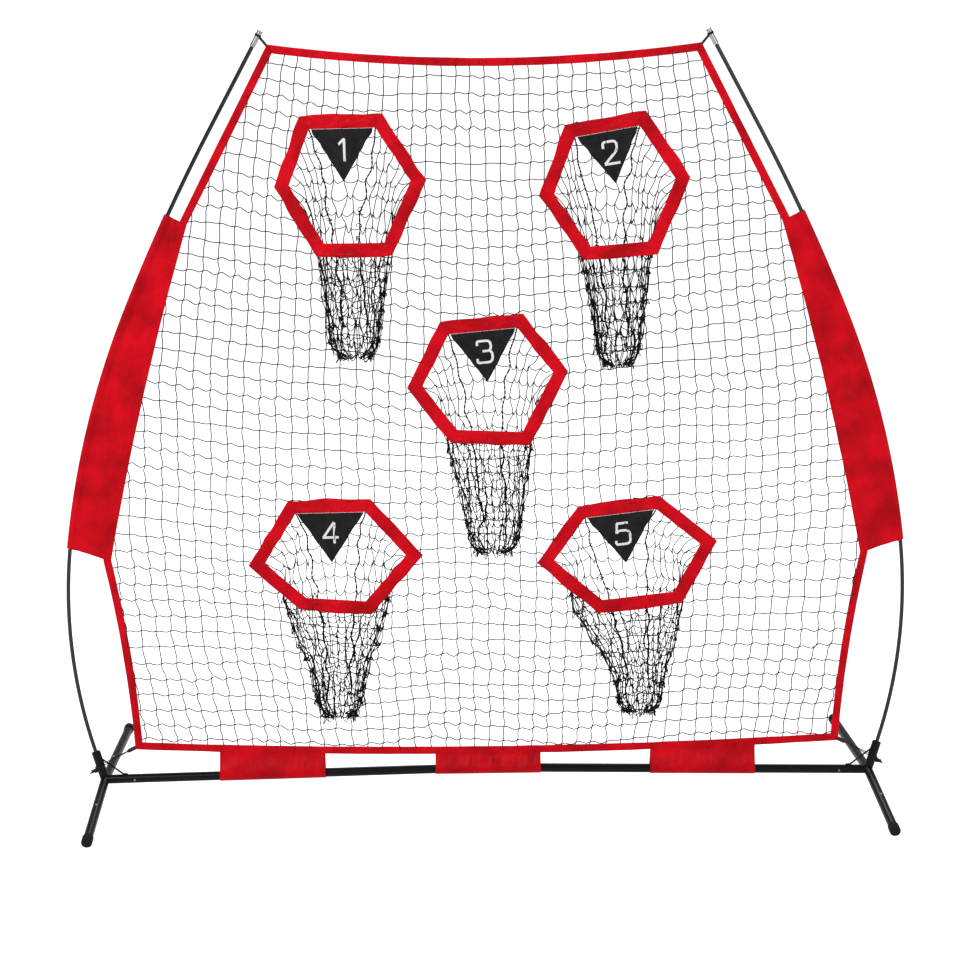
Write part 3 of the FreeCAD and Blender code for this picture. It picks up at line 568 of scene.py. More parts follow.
def inward(line, distance):
    """A closed outline moved towards its middle by a distance."""
    way = unit(np.roll(line, -1, 0) - np.roll(line, 1, 0))
    normal = np.stack([way[:, 1], -way[:, 0]], 1)
    return line + normal * distance


net_edge = inward(outline, HEM_WIDTH / 2 - 0.004)
band_edges = [inset(pocket["outer"], 0.004) for pocket in POCKETS]


def shown(points):
    """Where a point of the panel lies outside the bands and inside the hems."""
    flat = points[:, [0, 2]]
    keep = inside(flat, net_edge)
    for edge in band_edges:
        keep &= ~inside(flat, edge)
    return keep


def cut_strand(line):
    """The stretches of a strand that show, each with one point more at either end."""
    return [line[max(a - 1, 0):b + 1] for a, b in runs(shown(line), 2)]


ACROSS, DOWN = 27, len(ROW_HEIGHTS) - 3
fine_i = np.linspace(-ACROSS, ACROSS, 2 * ACROSS * SAMPLES + 1)
fine_j = np.linspace(-2, DOWN, (DOWN + 2) * SAMPLES + 1)
net_rows = [strand for j in range(-1, DOWN)
            for strand in cut_strand(panel(fine_i, np.full(fine_i.shape, float(j))))]
net_columns = [strand for i in range(-ACROSS, ACROSS + 1)
               for strand in cut_strand(panel(np.full(fine_j.shape, float(i)), fine_j))]

i, j = (x.ravel().astype(float) for x in np.meshgrid(range(-ACROSS, ACROSS + 1), range(-1, DOWN)))
crossings = panel(i, j)
crossings = crossings[shown(crossings)]


# %% Mesh of the net panel
def beads(centres, size):
    """An eight-sided bead, flattened by size, at each centre."""
    corners = np.array([[1, 0, 0], [0, 1, 0], [-1, 0, 0], [0, -1, 0], [0, 0, 1], [0, 0, -1]])
    sides = np.array([[0, 1, 4], [1, 2, 4], [2, 3, 4], [3, 0, 4],
                      [1, 0, 5], [2, 1, 5], [3, 2, 5], [0, 3, 5]])
    points = centres[:, None] + corners * np.asarray(size)
    faces = sides + np.arange(len(centres))[:, None, None] * len(corners)
    return points.reshape(-1, 3), faces.reshape(-1, 3)


def netting(name, groups, radius, crossing_points):
    """One mesh from groups of strands, each with its own across vector, and crossings."""
    points, faces, maps, extra = [], [], [], []
    first = 0
    for lines, across in groups:
        p, f, m, caps = tubes(lines, radius, 5, across)
        points.append(p)
        faces.append(f + first)
        maps.append(m)
        extra += (caps + first).tolist()
        first += len(p)
    bead_points, bead_faces = beads(crossing_points, (radius * 1.7, radius * 1.35, radius * 1.7))
    points.append(bead_points)
    extra += (bead_faces + first).tolist()
    points, faces, maps = (np.concatenate(x) for x in (points, faces, maps))
    return make_piece(name, points, faces, maps, black_twine, extra)


net = netting("net_panel", [(net_rows, (0, 1, 0)), (net_columns, (0, 1, 0))], TWINE_R, crossings)
settle(net, "target_net", slot="black_netting")
print("net panel:", len(net_rows) + len(net_columns), "strands,", len(crossings), "crossings,",
      len(net.data.polygons), "faces")

# %% [markdown]
# ## Shells from rings
#
# Sewn bands, sleeves and flags are closed shells: a cross-section carried along a path.
# Each cross-section is one ring of points, and a table of rings is all that a shell needs.
# A flat band's section is a superellipse, nearly a rectangle with soft edges: at a share
# a of its half width it is sqrt(1 - |a|^n) of its half thickness.

# %% Shell helpers
def section(count, square=8):
    """A closed cross-section from -1 to 1 across (a) and through (b) the cloth."""
    phi = np.linspace(0, 2 * math.pi, count, endpoint=False)
    a = np.cos(phi)
    return a, np.sign(np.sin(phi)) * np.sqrt((1 - np.abs(a) ** square).clip(0.0))


def shell(name, rings, material, closed=False):
    """A shell from rings (n, m, 3). closed joins the last ring to the first one."""
    rows, columns = rings.shape[:2]
    faces, r, c = grid(rows, columns, wrap_rows=closed, wrap_columns=True)
    ends = [rings[:, 0], rings[:1, 0]] if closed else [rings[:, 0]]
    far = along(np.concatenate(ends))
    middle = rings[rows // 2]
    far_round = along(np.concatenate([middle, middle[:1]]))
    cloth_map = np.stack([far[r], far_round[c]], -1)
    points = rings.reshape(-1, 3)
    p, q, s, t = (points[faces[:, k]] for k in range(4))
    volume = (p * np.cross(q, s)).sum() + (p * np.cross(s, t)).sum()
    caps = [] if closed else [np.arange(columns)[::-1], np.arange(columns) + len(points) - columns]
    if volume < 0:
        faces, cloth_map, caps = faces[:, ::-1], cloth_map[:, ::-1], [cap[::-1] for cap in caps]
    return make_piece(name, points, faces, cloth_map, material, caps)


def upright(flat, y):
    """Points (x, z) of the net's plane with a depth y."""
    return np.stack([flat[..., 0], np.broadcast_to(y, flat.shape[:-1]), flat[..., 1]], -1)


# %% [markdown]
# ## Hems
#
# A hem is the red satin folded over the net's edge and sewn through. It is 22 mm wide and
# under 4 mm thick, a bit fuller where the netting is bunched up inside it.

# %% Hems
def turning(line, following):
    """The angle between the end of one clockwise hem and the start of the next."""
    before, after = line[-1] - line[-2], following[1] - following[0]
    return math.acos(float(unit(before) @ unit(after)))


def hem_edge(line, distance, before, after, count):
    """A line moved outwards and cut or lengthened to its mitres, by distance tan(turn / 2)."""
    way = unit(np.gradient(line, axis=0))
    edge = line + np.stack([-way[:, 1], way[:, 0]], 1) * distance
    full = along(edge)[-1]
    at = np.linspace(-distance * math.tan(before / 2), full + distance * math.tan(after / 2),
                     count)
    return (at_distance(edge, at) + way[0] * at.clip(None, 0.0)[:, None]
            + way[-1] * (at - full).clip(0.0)[:, None])


def hem(name, line, before, after, node, seed, gauge):
    """Sections from the inner edge to the outer one, thickness moved by ripples."""
    count = int(along(line)[-1] / 0.005)
    inner, outer = (hem_edge(line, side * HEM_WIDTH / 2, before, after, count)
                    for side in (-1, 1))
    a, b = section(28)
    middle, half = (inner + outer) / 2, (outer - inner) / 2
    spot = upright(middle, NET_Y)
    wide = 1 + 0.03 * ripple(spot, 0.09, seed) * np.sin(math.pi * np.linspace(0, 1, count)) ** 0.2
    flat = middle[:, None] + half[:, None] * (a * wide[:, None])[..., None]
    spread = upright(flat, NET_Y)
    crease = 0.0008 * folds(spread, 0.035, seed + 1) + 0.0005 * ripple(spread, 0.02, seed + 2)
    made = shell(name, upright(flat, NET_Y + b * (gauge / 2 + crease)), red_satin)
    return settle(made, node, slot="red_polyester")


left_side = (side_line * mirror)[::-1]
hem_lines = [top_line, side_line, bottom_line, left_side]
turns = [turning(line, hem_lines[(k + 1) % 4]) for k, line in enumerate(hem_lines)]
for k, (word, gauge) in enumerate((("top", 0.0036), ("right", 0.0031), ("bottom", 0.0036),
                                   ("left", 0.0031))):
    hem(word + "_hem", hem_lines[k], turns[k - 1], turns[k], "hem_" + word, 21 + 10 * k, gauge)

# %% [markdown]
# ## Pocket bands
#
# A band is a strip of padded satin sewn round the mouth, mitred at its six corners. The
# strips at the top and bottom carry the weight and are puckered by it, so their folds are
# the strongest.

# %% Pocket bands
BAND_HALF_GAUGE = 0.0019


def pocket_band(number, pocket):
    """Six mitred strips: each point lies between the outer and the inner hexagon."""
    per_side = 34
    outer = pocket["outer"]
    outer_line, inner_line = (round_trip(line, per_side) for line in (outer, pocket["mouth"]))
    f = np.tile(np.linspace(0, 1, per_side, endpoint=False), 6)
    level = np.repeat(np.abs(unit(np.roll(outer, -1, 0) - outer)[:, 0]), per_side) ** 4
    a, b = section(30, 6)
    seed = 60 + 7 * number
    spot = upright(outer_line, NET_Y)
    outward = unit(outer_line - inner_line)
    wobble = 0.0014 * ripple(spot, 0.07, seed) + 0.0030 * np.sin(math.pi * f) * level
    outer_line = outer_line + outward * wobble[:, None]
    sway = 0.0008 * ripple(spot, 0.05, seed + 3) * (1 - level)
    inner_line = inner_line + outward * sway[:, None]
    middle, half = (outer_line + inner_line) / 2, (outer_line - inner_line) / 2
    flat = middle[:, None] + half[:, None] * a[:, None]
    spread = upright(flat, NET_Y)
    pucker = 0.0009 + 0.0021 * level[:, None]
    relief = pucker * (folds(spread, 0.034, seed + 1) + 0.4 * ripple(spread, 0.016, seed + 2))
    mitre = np.exp(-(np.minimum(f, 1 - f) / 0.03) ** 2)
    y = NET_Y + b * (BAND_HALF_GAUGE + relief - 0.0006 * mitre[:, None])
    made = shell("pocket_band_%d_satin" % number, upright(flat, y), red_satin, closed=True)
    return settle(made, "pocket_band_%d" % number, slot="red_polyester")


for number, pocket in enumerate(POCKETS, start=1):
    pocket_band(number, pocket)

# %% [markdown]
# ## Ball bags
#
# Behind each mouth hangs a bag of the same netting. It is drawn on a surface of seven
# rings: the mouth, a belly behind it, a throat and four that round the bottom off. The
# mesh is wider than the bag, so its strands have slack: rows droop between the columns,
# columns zigzag, and two seams of doubled twine run from the band's top corners to the
# bottom.

# %% Surface of a bag
BELLY_DEPTH, NECK_DEPTH, END_DEPTH = 0.1065, 0.1315, 0.088
BEHIND = 0.0025
MESH = 0.045
RISE = 0.0423


def ring_of_six(middle, half, shares, depths, heights, lean=0.0):
    """Two back corners, the right one, two front corners and the left one."""
    back_y, side_y, front_y = depths
    back_z, side_z, front_z = heights
    back, front = half * shares[0], half * shares[1]
    return np.array([
        (middle + lean - back, back_y, back_z), (middle + lean + back, back_y, back_z),
        (middle + half, side_y, side_z), (middle + front, front_y, front_z),
        (middle - front, front_y, front_z), (middle - half, side_y, side_z)])


def bag_rings(pocket):
    """The seven rings, and how far each is softened, in grid steps."""
    corners = inset(pocket["outer"], BAND_WIDTH - 0.0015)
    top_left, top_right, right, low_right, low_left, left = corners
    shift, neck, lean = pocket["throat"]
    middle = (low_left[0] + low_right[0]) / 2 + shift
    low = (low_left[1] + low_right[1]) / 2
    (end_x, end_z), end = pocket["end"], pocket["end_half"]

    def drawn_in(x, share):
        return middle + (x - middle) * share

    belly = np.array([
        (drawn_in(top_left[0], 0.9), BELLY_DEPTH, top_left[1] - 0.068),
        (drawn_in(top_right[0], 0.9), BELLY_DEPTH, top_right[1] - 0.068),
        (drawn_in(right[0], 0.85), BELLY_DEPTH / 2, right[1] - 0.034),
        (middle + neck * 0.8, BEHIND + 0.0065, low - 0.014),
        (middle - neck * 0.8, BEHIND + 0.0065, low - 0.014),
        (drawn_in(left[0], 0.85), BELLY_DEPTH / 2, left[1] - 0.034)])
    throat = ring_of_six(middle, neck, (0.42, 0.75),
                         (NECK_DEPTH, NECK_DEPTH / 2, BEHIND + 0.0075),
                         (low + 0.048, low - 0.024, low - 0.072), lean)
    centre = BEHIND + 0.012 + END_DEPTH / 2
    rings = [upright(corners, BEHIND), belly, throat]
    for size, back, half_depth, rise in ((1.14, 0.50, 0.044, 0.090), (1.02, 0.62, 0.042, 0.048),
                                         (0.72, 0.70, 0.030, 0.014), (0.34, 0.60, 0.006, 0.002)):
        rings.append(ring_of_six(end_x, end * size, (back, 0.75),
                                 (centre + half_depth, centre, centre - half_depth),
                                 (end_z + rise,) * 3))
    return rings, [0.0, 5.0, 12.0, 14.0, 14.0, 14.0, 10.0]


def bag_surface(pocket, per_side=36, down=90):
    """Surface (down, round, 3): softened rings joined by smooth curves.

    Softening is a Gaussian filter on each ring's Fourier terms. Between rings k and k + 1
    the surface is a cubic Hermite curve of the share v of the mean height."""
    turns = np.fft.fftfreq(6 * per_side)[:, None] * 2 * math.pi
    rings = []
    for ring, soft in zip(*bag_rings(pocket)):
        line = round_trip(ring, per_side)
        softened = np.fft.fft(line, axis=0) * np.exp(-(soft * turns) ** 2 / 2)
        rings.append(np.fft.ifft(softened, axis=0).real)
    rings = np.array(rings)
    heights = rings[:, :, 2].mean(1)
    at = (heights[0] - heights) / (heights[0] - heights[-1])
    slope = np.gradient(rings, at, axis=0)
    v = np.linspace(0, 1, down)
    k = np.clip(np.searchsorted(at, v, side="right") - 1, 0, len(at) - 2)
    step = (at[k + 1] - at[k])[:, None, None]
    t = ((v - at[k]) / (at[k + 1] - at[k]))[:, None, None]
    surface = (rings[k] * (2 * t ** 3 - 3 * t ** 2 + 1)
               + slope[k] * step * (t ** 3 - 2 * t ** 2 + t)
               + rings[k + 1] * (3 * t ** 2 - 2 * t ** 3)
               + slope[k + 1] * step * (t ** 3 - t ** 2))
    surface[..., 1] += NET_Y
    return surface


def pick(field, v, s):
    """The field's value at grid positions (v down, s round), straight between neighbours."""
    v0, s0 = np.clip(np.floor(v).astype(int), 0, len(field) - 2), np.floor(s).astype(int)
    fv, fs = (v - v0)[:, None], (s - s0)[:, None]
    s0, s1 = s0 % field.shape[1], (s0 + 1) % field.shape[1]
    upper = field[v0, s0] * (1 - fs) + field[v0, s1] * fs
    lower = field[v0 + 1, s0] * (1 - fs) + field[v0 + 1, s1] * fs
    return upper * (1 - fv) + lower * fv


# %% Netting of a bag
BAG_TWINE_R = 0.00135
ROUND_SAMPLES = 6
BACK_GAP, SIDE_GAP = 0.045, 0.029


def slack(c, k, spacing, outward, ahead, seed):
    """Shake of the netting at column c and row k, more where the columns are crowded.

    A mesh side of length L over a gap d has slack sqrt(L^2 - d^2) / 2. Rows droop by
    |sin(pi c)| of it, columns zigzag by cos(pi k), and smooth noise spoils the pattern."""
    loose = np.sqrt((MESH ** 2 - spacing ** 2).clip(0.0)) / 2
    share = (loose / (MESH / 2)) ** 3
    at = np.stack([c, k], -1)
    droop = np.abs(np.sin(math.pi * c)) ** 0.9 * loose
    wild = 0.5 + 0.5 * ripple(at, 2.2, seed)
    zigzag = np.cos(math.pi * k) * np.cos(math.pi * c) * 0.24 * spacing * share
    depth = 0.3 * droop * ripple(at, 1.9, seed + 4) + 0.004 * share * ripple(at, 2.3, seed + 1)
    move = outward * depth[:, None]
    sway = zigzag + (0.02 + 0.15 * share) * spacing * ripple(at, 1.9, seed + 2)
    move = move + ahead * sway[:, None]
    move[:, 2] -= droop * (0.45 + 0.35 * wild) + (0.001 + 0.005 * share) * ripple(at, 1.8, seed + 3)
    return move


def bag_net(number, pocket):
    """Rows at even heights and columns at even places of the mouth, both with slack."""
    surface = bag_surface(pocket)
    rounds = surface.shape[1]
    sides = np.linalg.norm(np.roll(pocket["mouth"], -1, 0) - pocket["mouth"], axis=1)
    counts = np.round(sides / np.where(np.arange(6) == 0, BACK_GAP, SIDE_GAP)).astype(int)
    places = np.concatenate([k + np.arange(n) / n for k, n in enumerate(counts)] + [[6.0]])
    columns = len(places) - 1
    seed = 200 + 17 * number
    centre = surface.mean(1, keepdims=True)
    outward = unit((surface - centre) * [1, 1, 0])
    ahead = unit(np.roll(surface, -1, 1) - np.roll(surface, 1, 1))
    falling = np.minimum.accumulate(surface[..., 2], 0)
    falling = falling - np.arange(len(surface))[:, None] * 1e-6
    levels = np.arange(surface[-1, :, 2].max() + 0.012, surface[0, :, 2].max(), RISE)

    def strand(c, height, k):
        """Points at column positions c, heights and rows k, and where they are below the rim."""
        s = np.interp(c % columns, np.arange(columns + 1), places) * rounds / 6.0
        lines = falling[:, np.round(s).astype(int) % rounds]
        v0 = np.clip((lines > height).sum(0) - 1, 0, len(surface) - 2)
        above, below = lines[v0, np.arange(len(s))], lines[v0 + 1, np.arange(len(s))]
        v = v0 + ((above - height) / (above - below)).clip(0, 1)
        rim = pick(surface, 0 * s, s)[:, 2]
        free = ((rim - height) / 0.05).clip(0.0, 1.0)
        reach = np.interp(c % columns, np.arange(columns) + 0.5, np.diff(places)) * rounds / 12.0
        spacing = np.linalg.norm(pick(surface, v, s + reach) - pick(surface, v, s - reach), axis=1)
        move = slack(c, k, spacing, pick(outward, v, s), pick(ahead, v, s), seed)
        return pick(surface, v, s) + move * free[:, None], height < rim - 0.004

    rows = []
    around = np.linspace(0, columns, columns * ROUND_SAMPLES + 1)
    for k, level in enumerate(levels):
        points, keep = strand(around, np.full(around.shape, level), np.full(around.shape, float(k)))
        rows += [points[a:b] for a, b in runs(keep, 3)]
    posts = []
    for c in range(columns):
        rim = surface[0, int(round(places[c] * rounds / 6.0)) % rounds, 2]
        height = np.append(np.arange(surface[-1, :, 2].mean() + 0.001, rim - 0.004, RISE / 5), rim)
        height = height[::-1]
        points, keep = strand(np.full(height.shape, float(c)), height, (height - levels[0]) / RISE)
        posts.append(points)
    c, k = (x.ravel() for x in np.meshgrid(range(columns), range(len(levels))))
    spots, keep = strand(c.astype(float), levels[k], k.astype(float))
    made = netting("ball_bag_%d" % number, [(rows, (0.02, 0.03, 1.0)), (posts, (1.0, 0.06, 0.02))],
                   BAG_TWINE_R, spots[keep])
    settle(made, "pocket_net_%d" % number, slot="black_netting")
    return surface, [posts[0], posts[counts[0]]], made


# %% Seams and loose loops of a bag
def doubled(line, apart, pitch, seed):
    """Two strands laid round a line: each keeps a half turn from the other."""
    way = unit(np.gradient(line, axis=0))
    side = unit(np.cross(way, (0.05, 1.0, 0.03)))
    other = np.cross(way, side)
    angle = along(line) / pitch * 2 * math.pi + ripple(line, 0.08, seed)
    turn = side * np.cos(angle)[:, None] + other * np.sin(angle)[:, None]
    return [line + turn * apart, line - turn * apart]


def loops(centres, radius, random):
    """Loose ends of twine: open circles of random size and tilt that hang on the seams."""
    made = []
    for centre in centres:
        size = radius * random.uniform(0.55, 1.25)
        start, span = random.uniform(0, 2 * math.pi), random.uniform(3.6, 5.6)
        angle = np.linspace(start, start + span, 12)[:, None]
        a, b = unit(random.normal(size=(2, 3)) * [1.0, 0.4, 1.0])
        made.append(centre + size * (a * np.cos(angle) + 0.8 * b * np.sin(angle)))
    return made


SEAM_TWINE_R = 0.0013
HUNG_LOOPS, LOW_LOOPS = 8, 18
for number, pocket in enumerate(POCKETS, start=1):
    surface, seams, bag = bag_net(number, pocket)
    random = np.random.default_rng(300 + 11 * number)
    strands = []
    for line in seams:
        dense = spaced(line, 160)
        strands += doubled(dense[:147], 0.0014, 0.030, number)
        strands += doubled(dense[84:138], 0.0021, 0.041, number)
    hung = []
    for line in seams:
        share = random.uniform(0.2, 0.84, HUNG_LOOPS) ** 0.7
        hung.append(line[(len(line) * share).astype(int) - 1])
    hung = np.concatenate(hung)
    tangle = loops(hung + random.normal(size=hung.shape) * 0.004, 0.007, random)
    bottom = surface[-20:-2, ::7].reshape(-1, 3)
    bottom = bottom[random.integers(0, len(bottom), LOW_LOOPS)]
    tangle += loops(bottom + random.normal(size=bottom.shape) * 0.003, 0.010, random)
    points, faces, maps, caps = tubes(strands + tangle, SEAM_TWINE_R, 5, (0.31, 0.83, 0.46))
    made = make_piece("bag_seams_%d" % number, points, faces, maps, black_twine, caps)
    settle(made, slot="black_netting")
    print("bag", number, len(bag.data.polygons), "faces of netting,", len(faces), "of seams")

# %% [markdown]
# ## Number flags
#
# A flag is a triangle of coated cloth sewn under the top of each mouth. Its number is
# printed in pale ink. Both follow one relief, so the print lies on the folds of the cloth.
# A digit is a line with rounded corners, drawn with a flat pen 7 mm wide.

# %% Flags and numbers
FLAG_HEIGHT = 0.141
FLAG_MARGIN = 0.003
FLAG_HALF_GAUGE = 0.0005
PEN = 0.0068
PRINT_LIFT, PRINT_HALF_GAUGE = 0.00055, 0.0002
DIGIT_DOWN = 0.40  # share of the flag's height
DIGIT_SCALE = 0.0425
DIGITS = {  # strokes: corners and how far each one is rounded, for a digit 1 wide and 1.4 high
    1: [([(0.22, 1.04), (0.60, 1.40), (0.60, 0.0)], 0.04)],
    2: [([(0.06, 1.00), (0.06, 1.40), (0.93, 1.40), (0.93, 0.80), (0.04, 0.03)], 0.42),
        ([(0.02, 0.0), (1.0, 0.0)], 0.0)],
    3: [([(0.05, 1.12), (0.05, 1.40), (0.92, 1.40), (0.92, 0.75), (0.36, 0.75)], 0.34),
        ([(0.36, 0.75), (0.98, 0.75), (0.98, 0.0), (0.0, 0.0), (0.0, 0.28)], 0.36)],
    4: [([(0.71, 1.40), (0.0, 0.40), (1.0, 0.40)], 0.02), ([(0.72, 1.38), (0.72, 0.0)], 0.0)],
    5: [([(0.90, 1.40), (0.18, 1.40), (0.10, 0.72)], 0.02),
        ([(0.12, 0.74), (0.26, 0.90), (0.97, 0.90), (0.97, 0.0), (0.02, 0.0), (0.02, 0.26)], 0.36)],
}


def rounded(corners, radius, per_corner=7):
    """A line whose corners are replaced by short quadratic curves of about this radius."""
    corners = np.asarray(corners, float)
    line = [corners[:1]]
    for before, corner, after in zip(corners, corners[1:], corners[2:]):
        back, on = before - corner, after - corner
        cut = min(radius, 0.48 * np.linalg.norm(back), 0.48 * np.linalg.norm(on))
        start, end = corner + unit(back) * cut, corner + unit(on) * cut
        t = np.linspace(0, 1, per_corner)[:, None]
        line.append(start * (1 - t) ** 2 + 2 * corner * t * (1 - t) + end * t ** 2)
    line.append(corners[-1:])
    return np.concatenate(line)


def flag_relief(plane, seed):
    """Depth of the cloth: slow swells and a few creases, none at the sewn edge."""
    free = (plane[..., 1] / 0.05).clip(0.0, 1.0)
    return free * (0.0022 * ripple(plane, 0.09, seed)
                   + 0.0018 * folds(plane * [1.0, 0.5], 0.045, seed + 1)
                   + 0.0003 * ripple(plane, 0.020, seed + 2))


def number_flag(number, pocket):
    """A triangle whose width is 1 - v of its sewn edge's, and its number laid on it."""
    left, right = pocket["mouth"][0], pocket["mouth"][1]
    ahead = unit(right - left)
    fall = np.array([ahead[1], -ahead[0]])
    half = np.linalg.norm(right - left) / 2 - FLAG_MARGIN
    middle = (left + right) / 2 + fall * 0.0005
    seed = 400 + 13 * number

    def on_flag(plane, lift, b):
        """Points of the flag's own plane, laid in the world with the cloth's relief."""
        flat = middle + ahead * plane[..., :1] + fall * plane[..., 1:]
        return upright(flat, NET_Y + flag_relief(plane, seed) - lift + b)

    v = np.linspace(0.0, 0.985, 70)[:, None]
    a, b = section(72, 30)
    edge = 1 + 0.02 * ripple(np.concatenate([v, v + seed], 1), 0.3, seed)[:, None]
    plane = np.stack([a * half * (1 - v) * edge, v * FLAG_HEIGHT + 0 * a], -1)
    cloth = shell("flag_%d_cloth" % number, on_flag(plane, 0.0, b * FLAG_HALF_GAUGE), flag_cloth)
    settle(cloth, "number_flag_%d" % number, body="number_flag_%d" % number, slot="black_polyester")

    a, b = section(12, 6)
    for part, (stroke, bend) in enumerate(DIGITS[number], start=1):
        drawn = spaced(rounded(stroke, bend) * DIGIT_SCALE, 70)
        drawn = drawn - [0.5 * DIGIT_SCALE, 0.7 * DIGIT_SCALE]
        way = unit(np.gradient(drawn, axis=0))
        across = np.stack([way[:, 1], -way[:, 0]], 1)
        local = drawn[:, None] + across[:, None] * (a * PEN / 2)[:, None]
        plane = np.stack([local[..., 0], FLAG_HEIGHT * DIGIT_DOWN - local[..., 1]], -1)
        ink = shell("number_%d_stroke_%d" % (number, part),
                    on_flag(plane, PRINT_LIFT, b * PRINT_HALF_GAUGE), print_ink)
        settle(ink, body="number_flag_%d" % number, slot="black_polyester")


for number, pocket in enumerate(POCKETS, start=1):
    number_flag(number, pocket)
print("flags and numbers made")

# %% [markdown]
# ## Sleeves
#
# Each sleeve is one piece of satin: a tunnel round a tube, then two layers side by side
# that run in to the hem. Its section is a tear drop that swells by a squared sine from the
# hem's thickness to the tunnel's radius. An outer and an inner skin close it at both ends.

# %% Sleeves round the poles and the base bar
CLOTH = 0.0009
POLE_TUNNEL_R, POLE_SWELL = 0.0092, 0.0184


def tear_drop(length, radius, swell, half, count=16):
    """Distance from the hem and half thickness of the section, from the hem round the tube."""
    start = max(length - swell, 0.0)
    run = np.concatenate([np.linspace(0, start, count, endpoint=False),
                          np.linspace(start, length, count, endpoint=False)])
    bend = np.linspace(0, math.pi / 2, 8)
    share = ((run - start) / (length - start)).clip(0.0, 1.0)
    thick = half + (radius - half) * np.sin(math.pi / 2 * share) ** 2
    return np.append(run, length + radius * np.sin(bend)), np.append(thick, radius * np.cos(bend))


def sleeve(name, edge, centre, radius, swell, relief, node, seed):
    """Two skins of tear drops from points (x, z) on the hem to points on the tube's line."""
    ahead = unit(centre - edge)
    length = np.linalg.norm(centre - edge, axis=1)
    skins = []
    for skin in (0.0, CLOTH):
        drops = [tear_drop(x, radius - skin, swell, 1.2 * CLOTH - skin) for x in length]
        a, h = (np.array([drop[k] for drop in drops]) for k in (0, 1))
        a, h = np.concatenate([a, a[:, -2::-1]], 1), np.concatenate([-h, h[:, -2::-1]], 1)
        flat = edge[:, None] + ahead[:, None] * a[..., None]
        free = np.sin(math.pi * (a / length[:, None]).clip(0, 1)) ** 0.7
        skins.append(upright(flat, NET_Y + h + free * relief(flat, h, seed)))
    rings = np.concatenate([skins[0], skins[1][::-1]])
    made = shell(name, rings, red_satin, closed=True)
    return settle(made, node, slot="red_polyester")


def pole_relief(flat, h, seed):
    """Long swells and sharper folds that run down the sleeve."""
    return (0.0030 * ripple(flat * [1.0, 0.45], 0.10, seed)
            + 0.0022 * folds(flat * [1.6, 0.5], 0.075, seed + 1)
            + 0.0006 * ripple(flat, 0.03, seed + 2))


def base_relief(flat, h, seed):
    """Pleats where the loop is gathered under the hem."""
    return 0.0012 * ripple(flat * [1.0, 0.3], 0.022, seed) + 0.0014 * ripple(flat, 0.07, seed + 1)


share = np.linspace(0, 1, 150)
pole_centre = pole_line(SLEEVE_LOW + share * (SLEEVE_HIGH - SLEEVE_LOW))[0]
hem_side = spaced(sleeve_side[::-1], len(share))
hem_side = hem_side + unit(pole_centre - hem_side) * (HEM_WIDTH / 2 - 0.005)
for side, word in ((1.0, "right"), (-1.0, "left")):
    turned = [side, 1.0]
    sleeve("satin_pole_sleeve_" + word, hem_side * turned, pole_centre * turned, POLE_TUNNEL_R,
           POLE_SWELL, pole_relief, "pole_sleeve_" + word, 500 + int(side))

BAR_RISE, BAR_R = 0.020, 0.0125
BASE_LENGTH, BASE_SPACING, BASE_R = 0.296, 0.605, 0.0185
for position, word in ((-1, "left"), (0, "middle"), (1, "right")):
    slope = BAR_RISE / HUB[0]
    x = np.linspace(-0.5, 0.5, 90) * BASE_LENGTH + position * BASE_SPACING
    drop = 0.0 if position else BASE_LENGTH / 2 * slope
    bar_z = HUB[1] + BAR_RISE - abs(position) * BASE_SPACING * slope - drop
    z = bar_z + 0.0042 - (x - position * BASE_SPACING) * slope * position
    hem_z = np.interp(x, bottom_line[::-1, 0], bottom_line[::-1, 1]) - HEM_WIDTH / 2 + 0.003
    sleeve("satin_base_sleeve_" + word, np.stack([x, hem_z], 1), np.stack([x, z], 1), BASE_R, 0.2,
           base_relief, "base_sleeve_" + word, 520 + position)
print("sleeves made")

# %% [markdown]
# ## Straps and cords at the corners
#
# A loop of webbing hangs each top corner on the flange of a pole's tip. At the bottom a
# hook on the net's corner carries a loop of elastic that is stretched round the socket.

# %% Top straps
STRAP_WIDTH = 0.007
TIP_LOOP_R = 0.0081


def strap(name, path, width_way, width, gauge, node=None, closed=False):
    """Webbing along a path (n, 3), its width along a given direction at each point."""
    way = unit(np.gradient(path, axis=0))
    if closed:
        way = unit(np.roll(path, -1, 0) - np.roll(path, 1, 0))
    through = unit(np.cross(way, width_way))
    a, b = section(20, 10)
    rings = (path[:, None] + np.asarray(width_way)[..., None, :] * (a * width / 2)[:, None]
             + through[:, None] * (b * gauge / 2)[:, None])
    made = shell(name, rings, webbing, closed)
    settle(made, *([node] if node else []), slot="black_webbing")
    return made


loop_at, loop_lean = pole_line(POLE_LENGTH - 0.010)
loop_axis = np.array([math.sin(loop_lean), 0.0, math.cos(loop_lean)])
loop_out = np.array([math.cos(loop_lean), 0.0, -math.sin(loop_lean)])
angle = np.linspace(0, 2 * math.pi, 40, endpoint=False)[:, None]
for side, word in ((1.0, "right"), (-1.0, "left")):
    turned = np.array([side, 1.0, 1.0])
    centre = upright(loop_at, NET_Y)
    ring = centre + TIP_LOOP_R * (loop_out * np.cos(angle) + np.array([0, 1, 0]) * np.sin(angle))
    strap("tip_loop_" + word, ring * turned, loop_axis * turned, STRAP_WIDTH, 0.0015,
          closed=True)
    reach = unit(top_corner - loop_at)
    f = np.linspace(0, 1, 24)[:, None]
    start, stop = loop_at + reach * 0.0078, top_corner - reach * (HEM_WIDTH / 2 - 0.006)
    path = upright(start + (stop - start) * f, NET_Y)
    strap("tip_band_" + word, path * turned, np.array([-reach[1], 0, reach[0]]) * turned,
          STRAP_WIDTH, 0.0022, "top_strap_" + word)

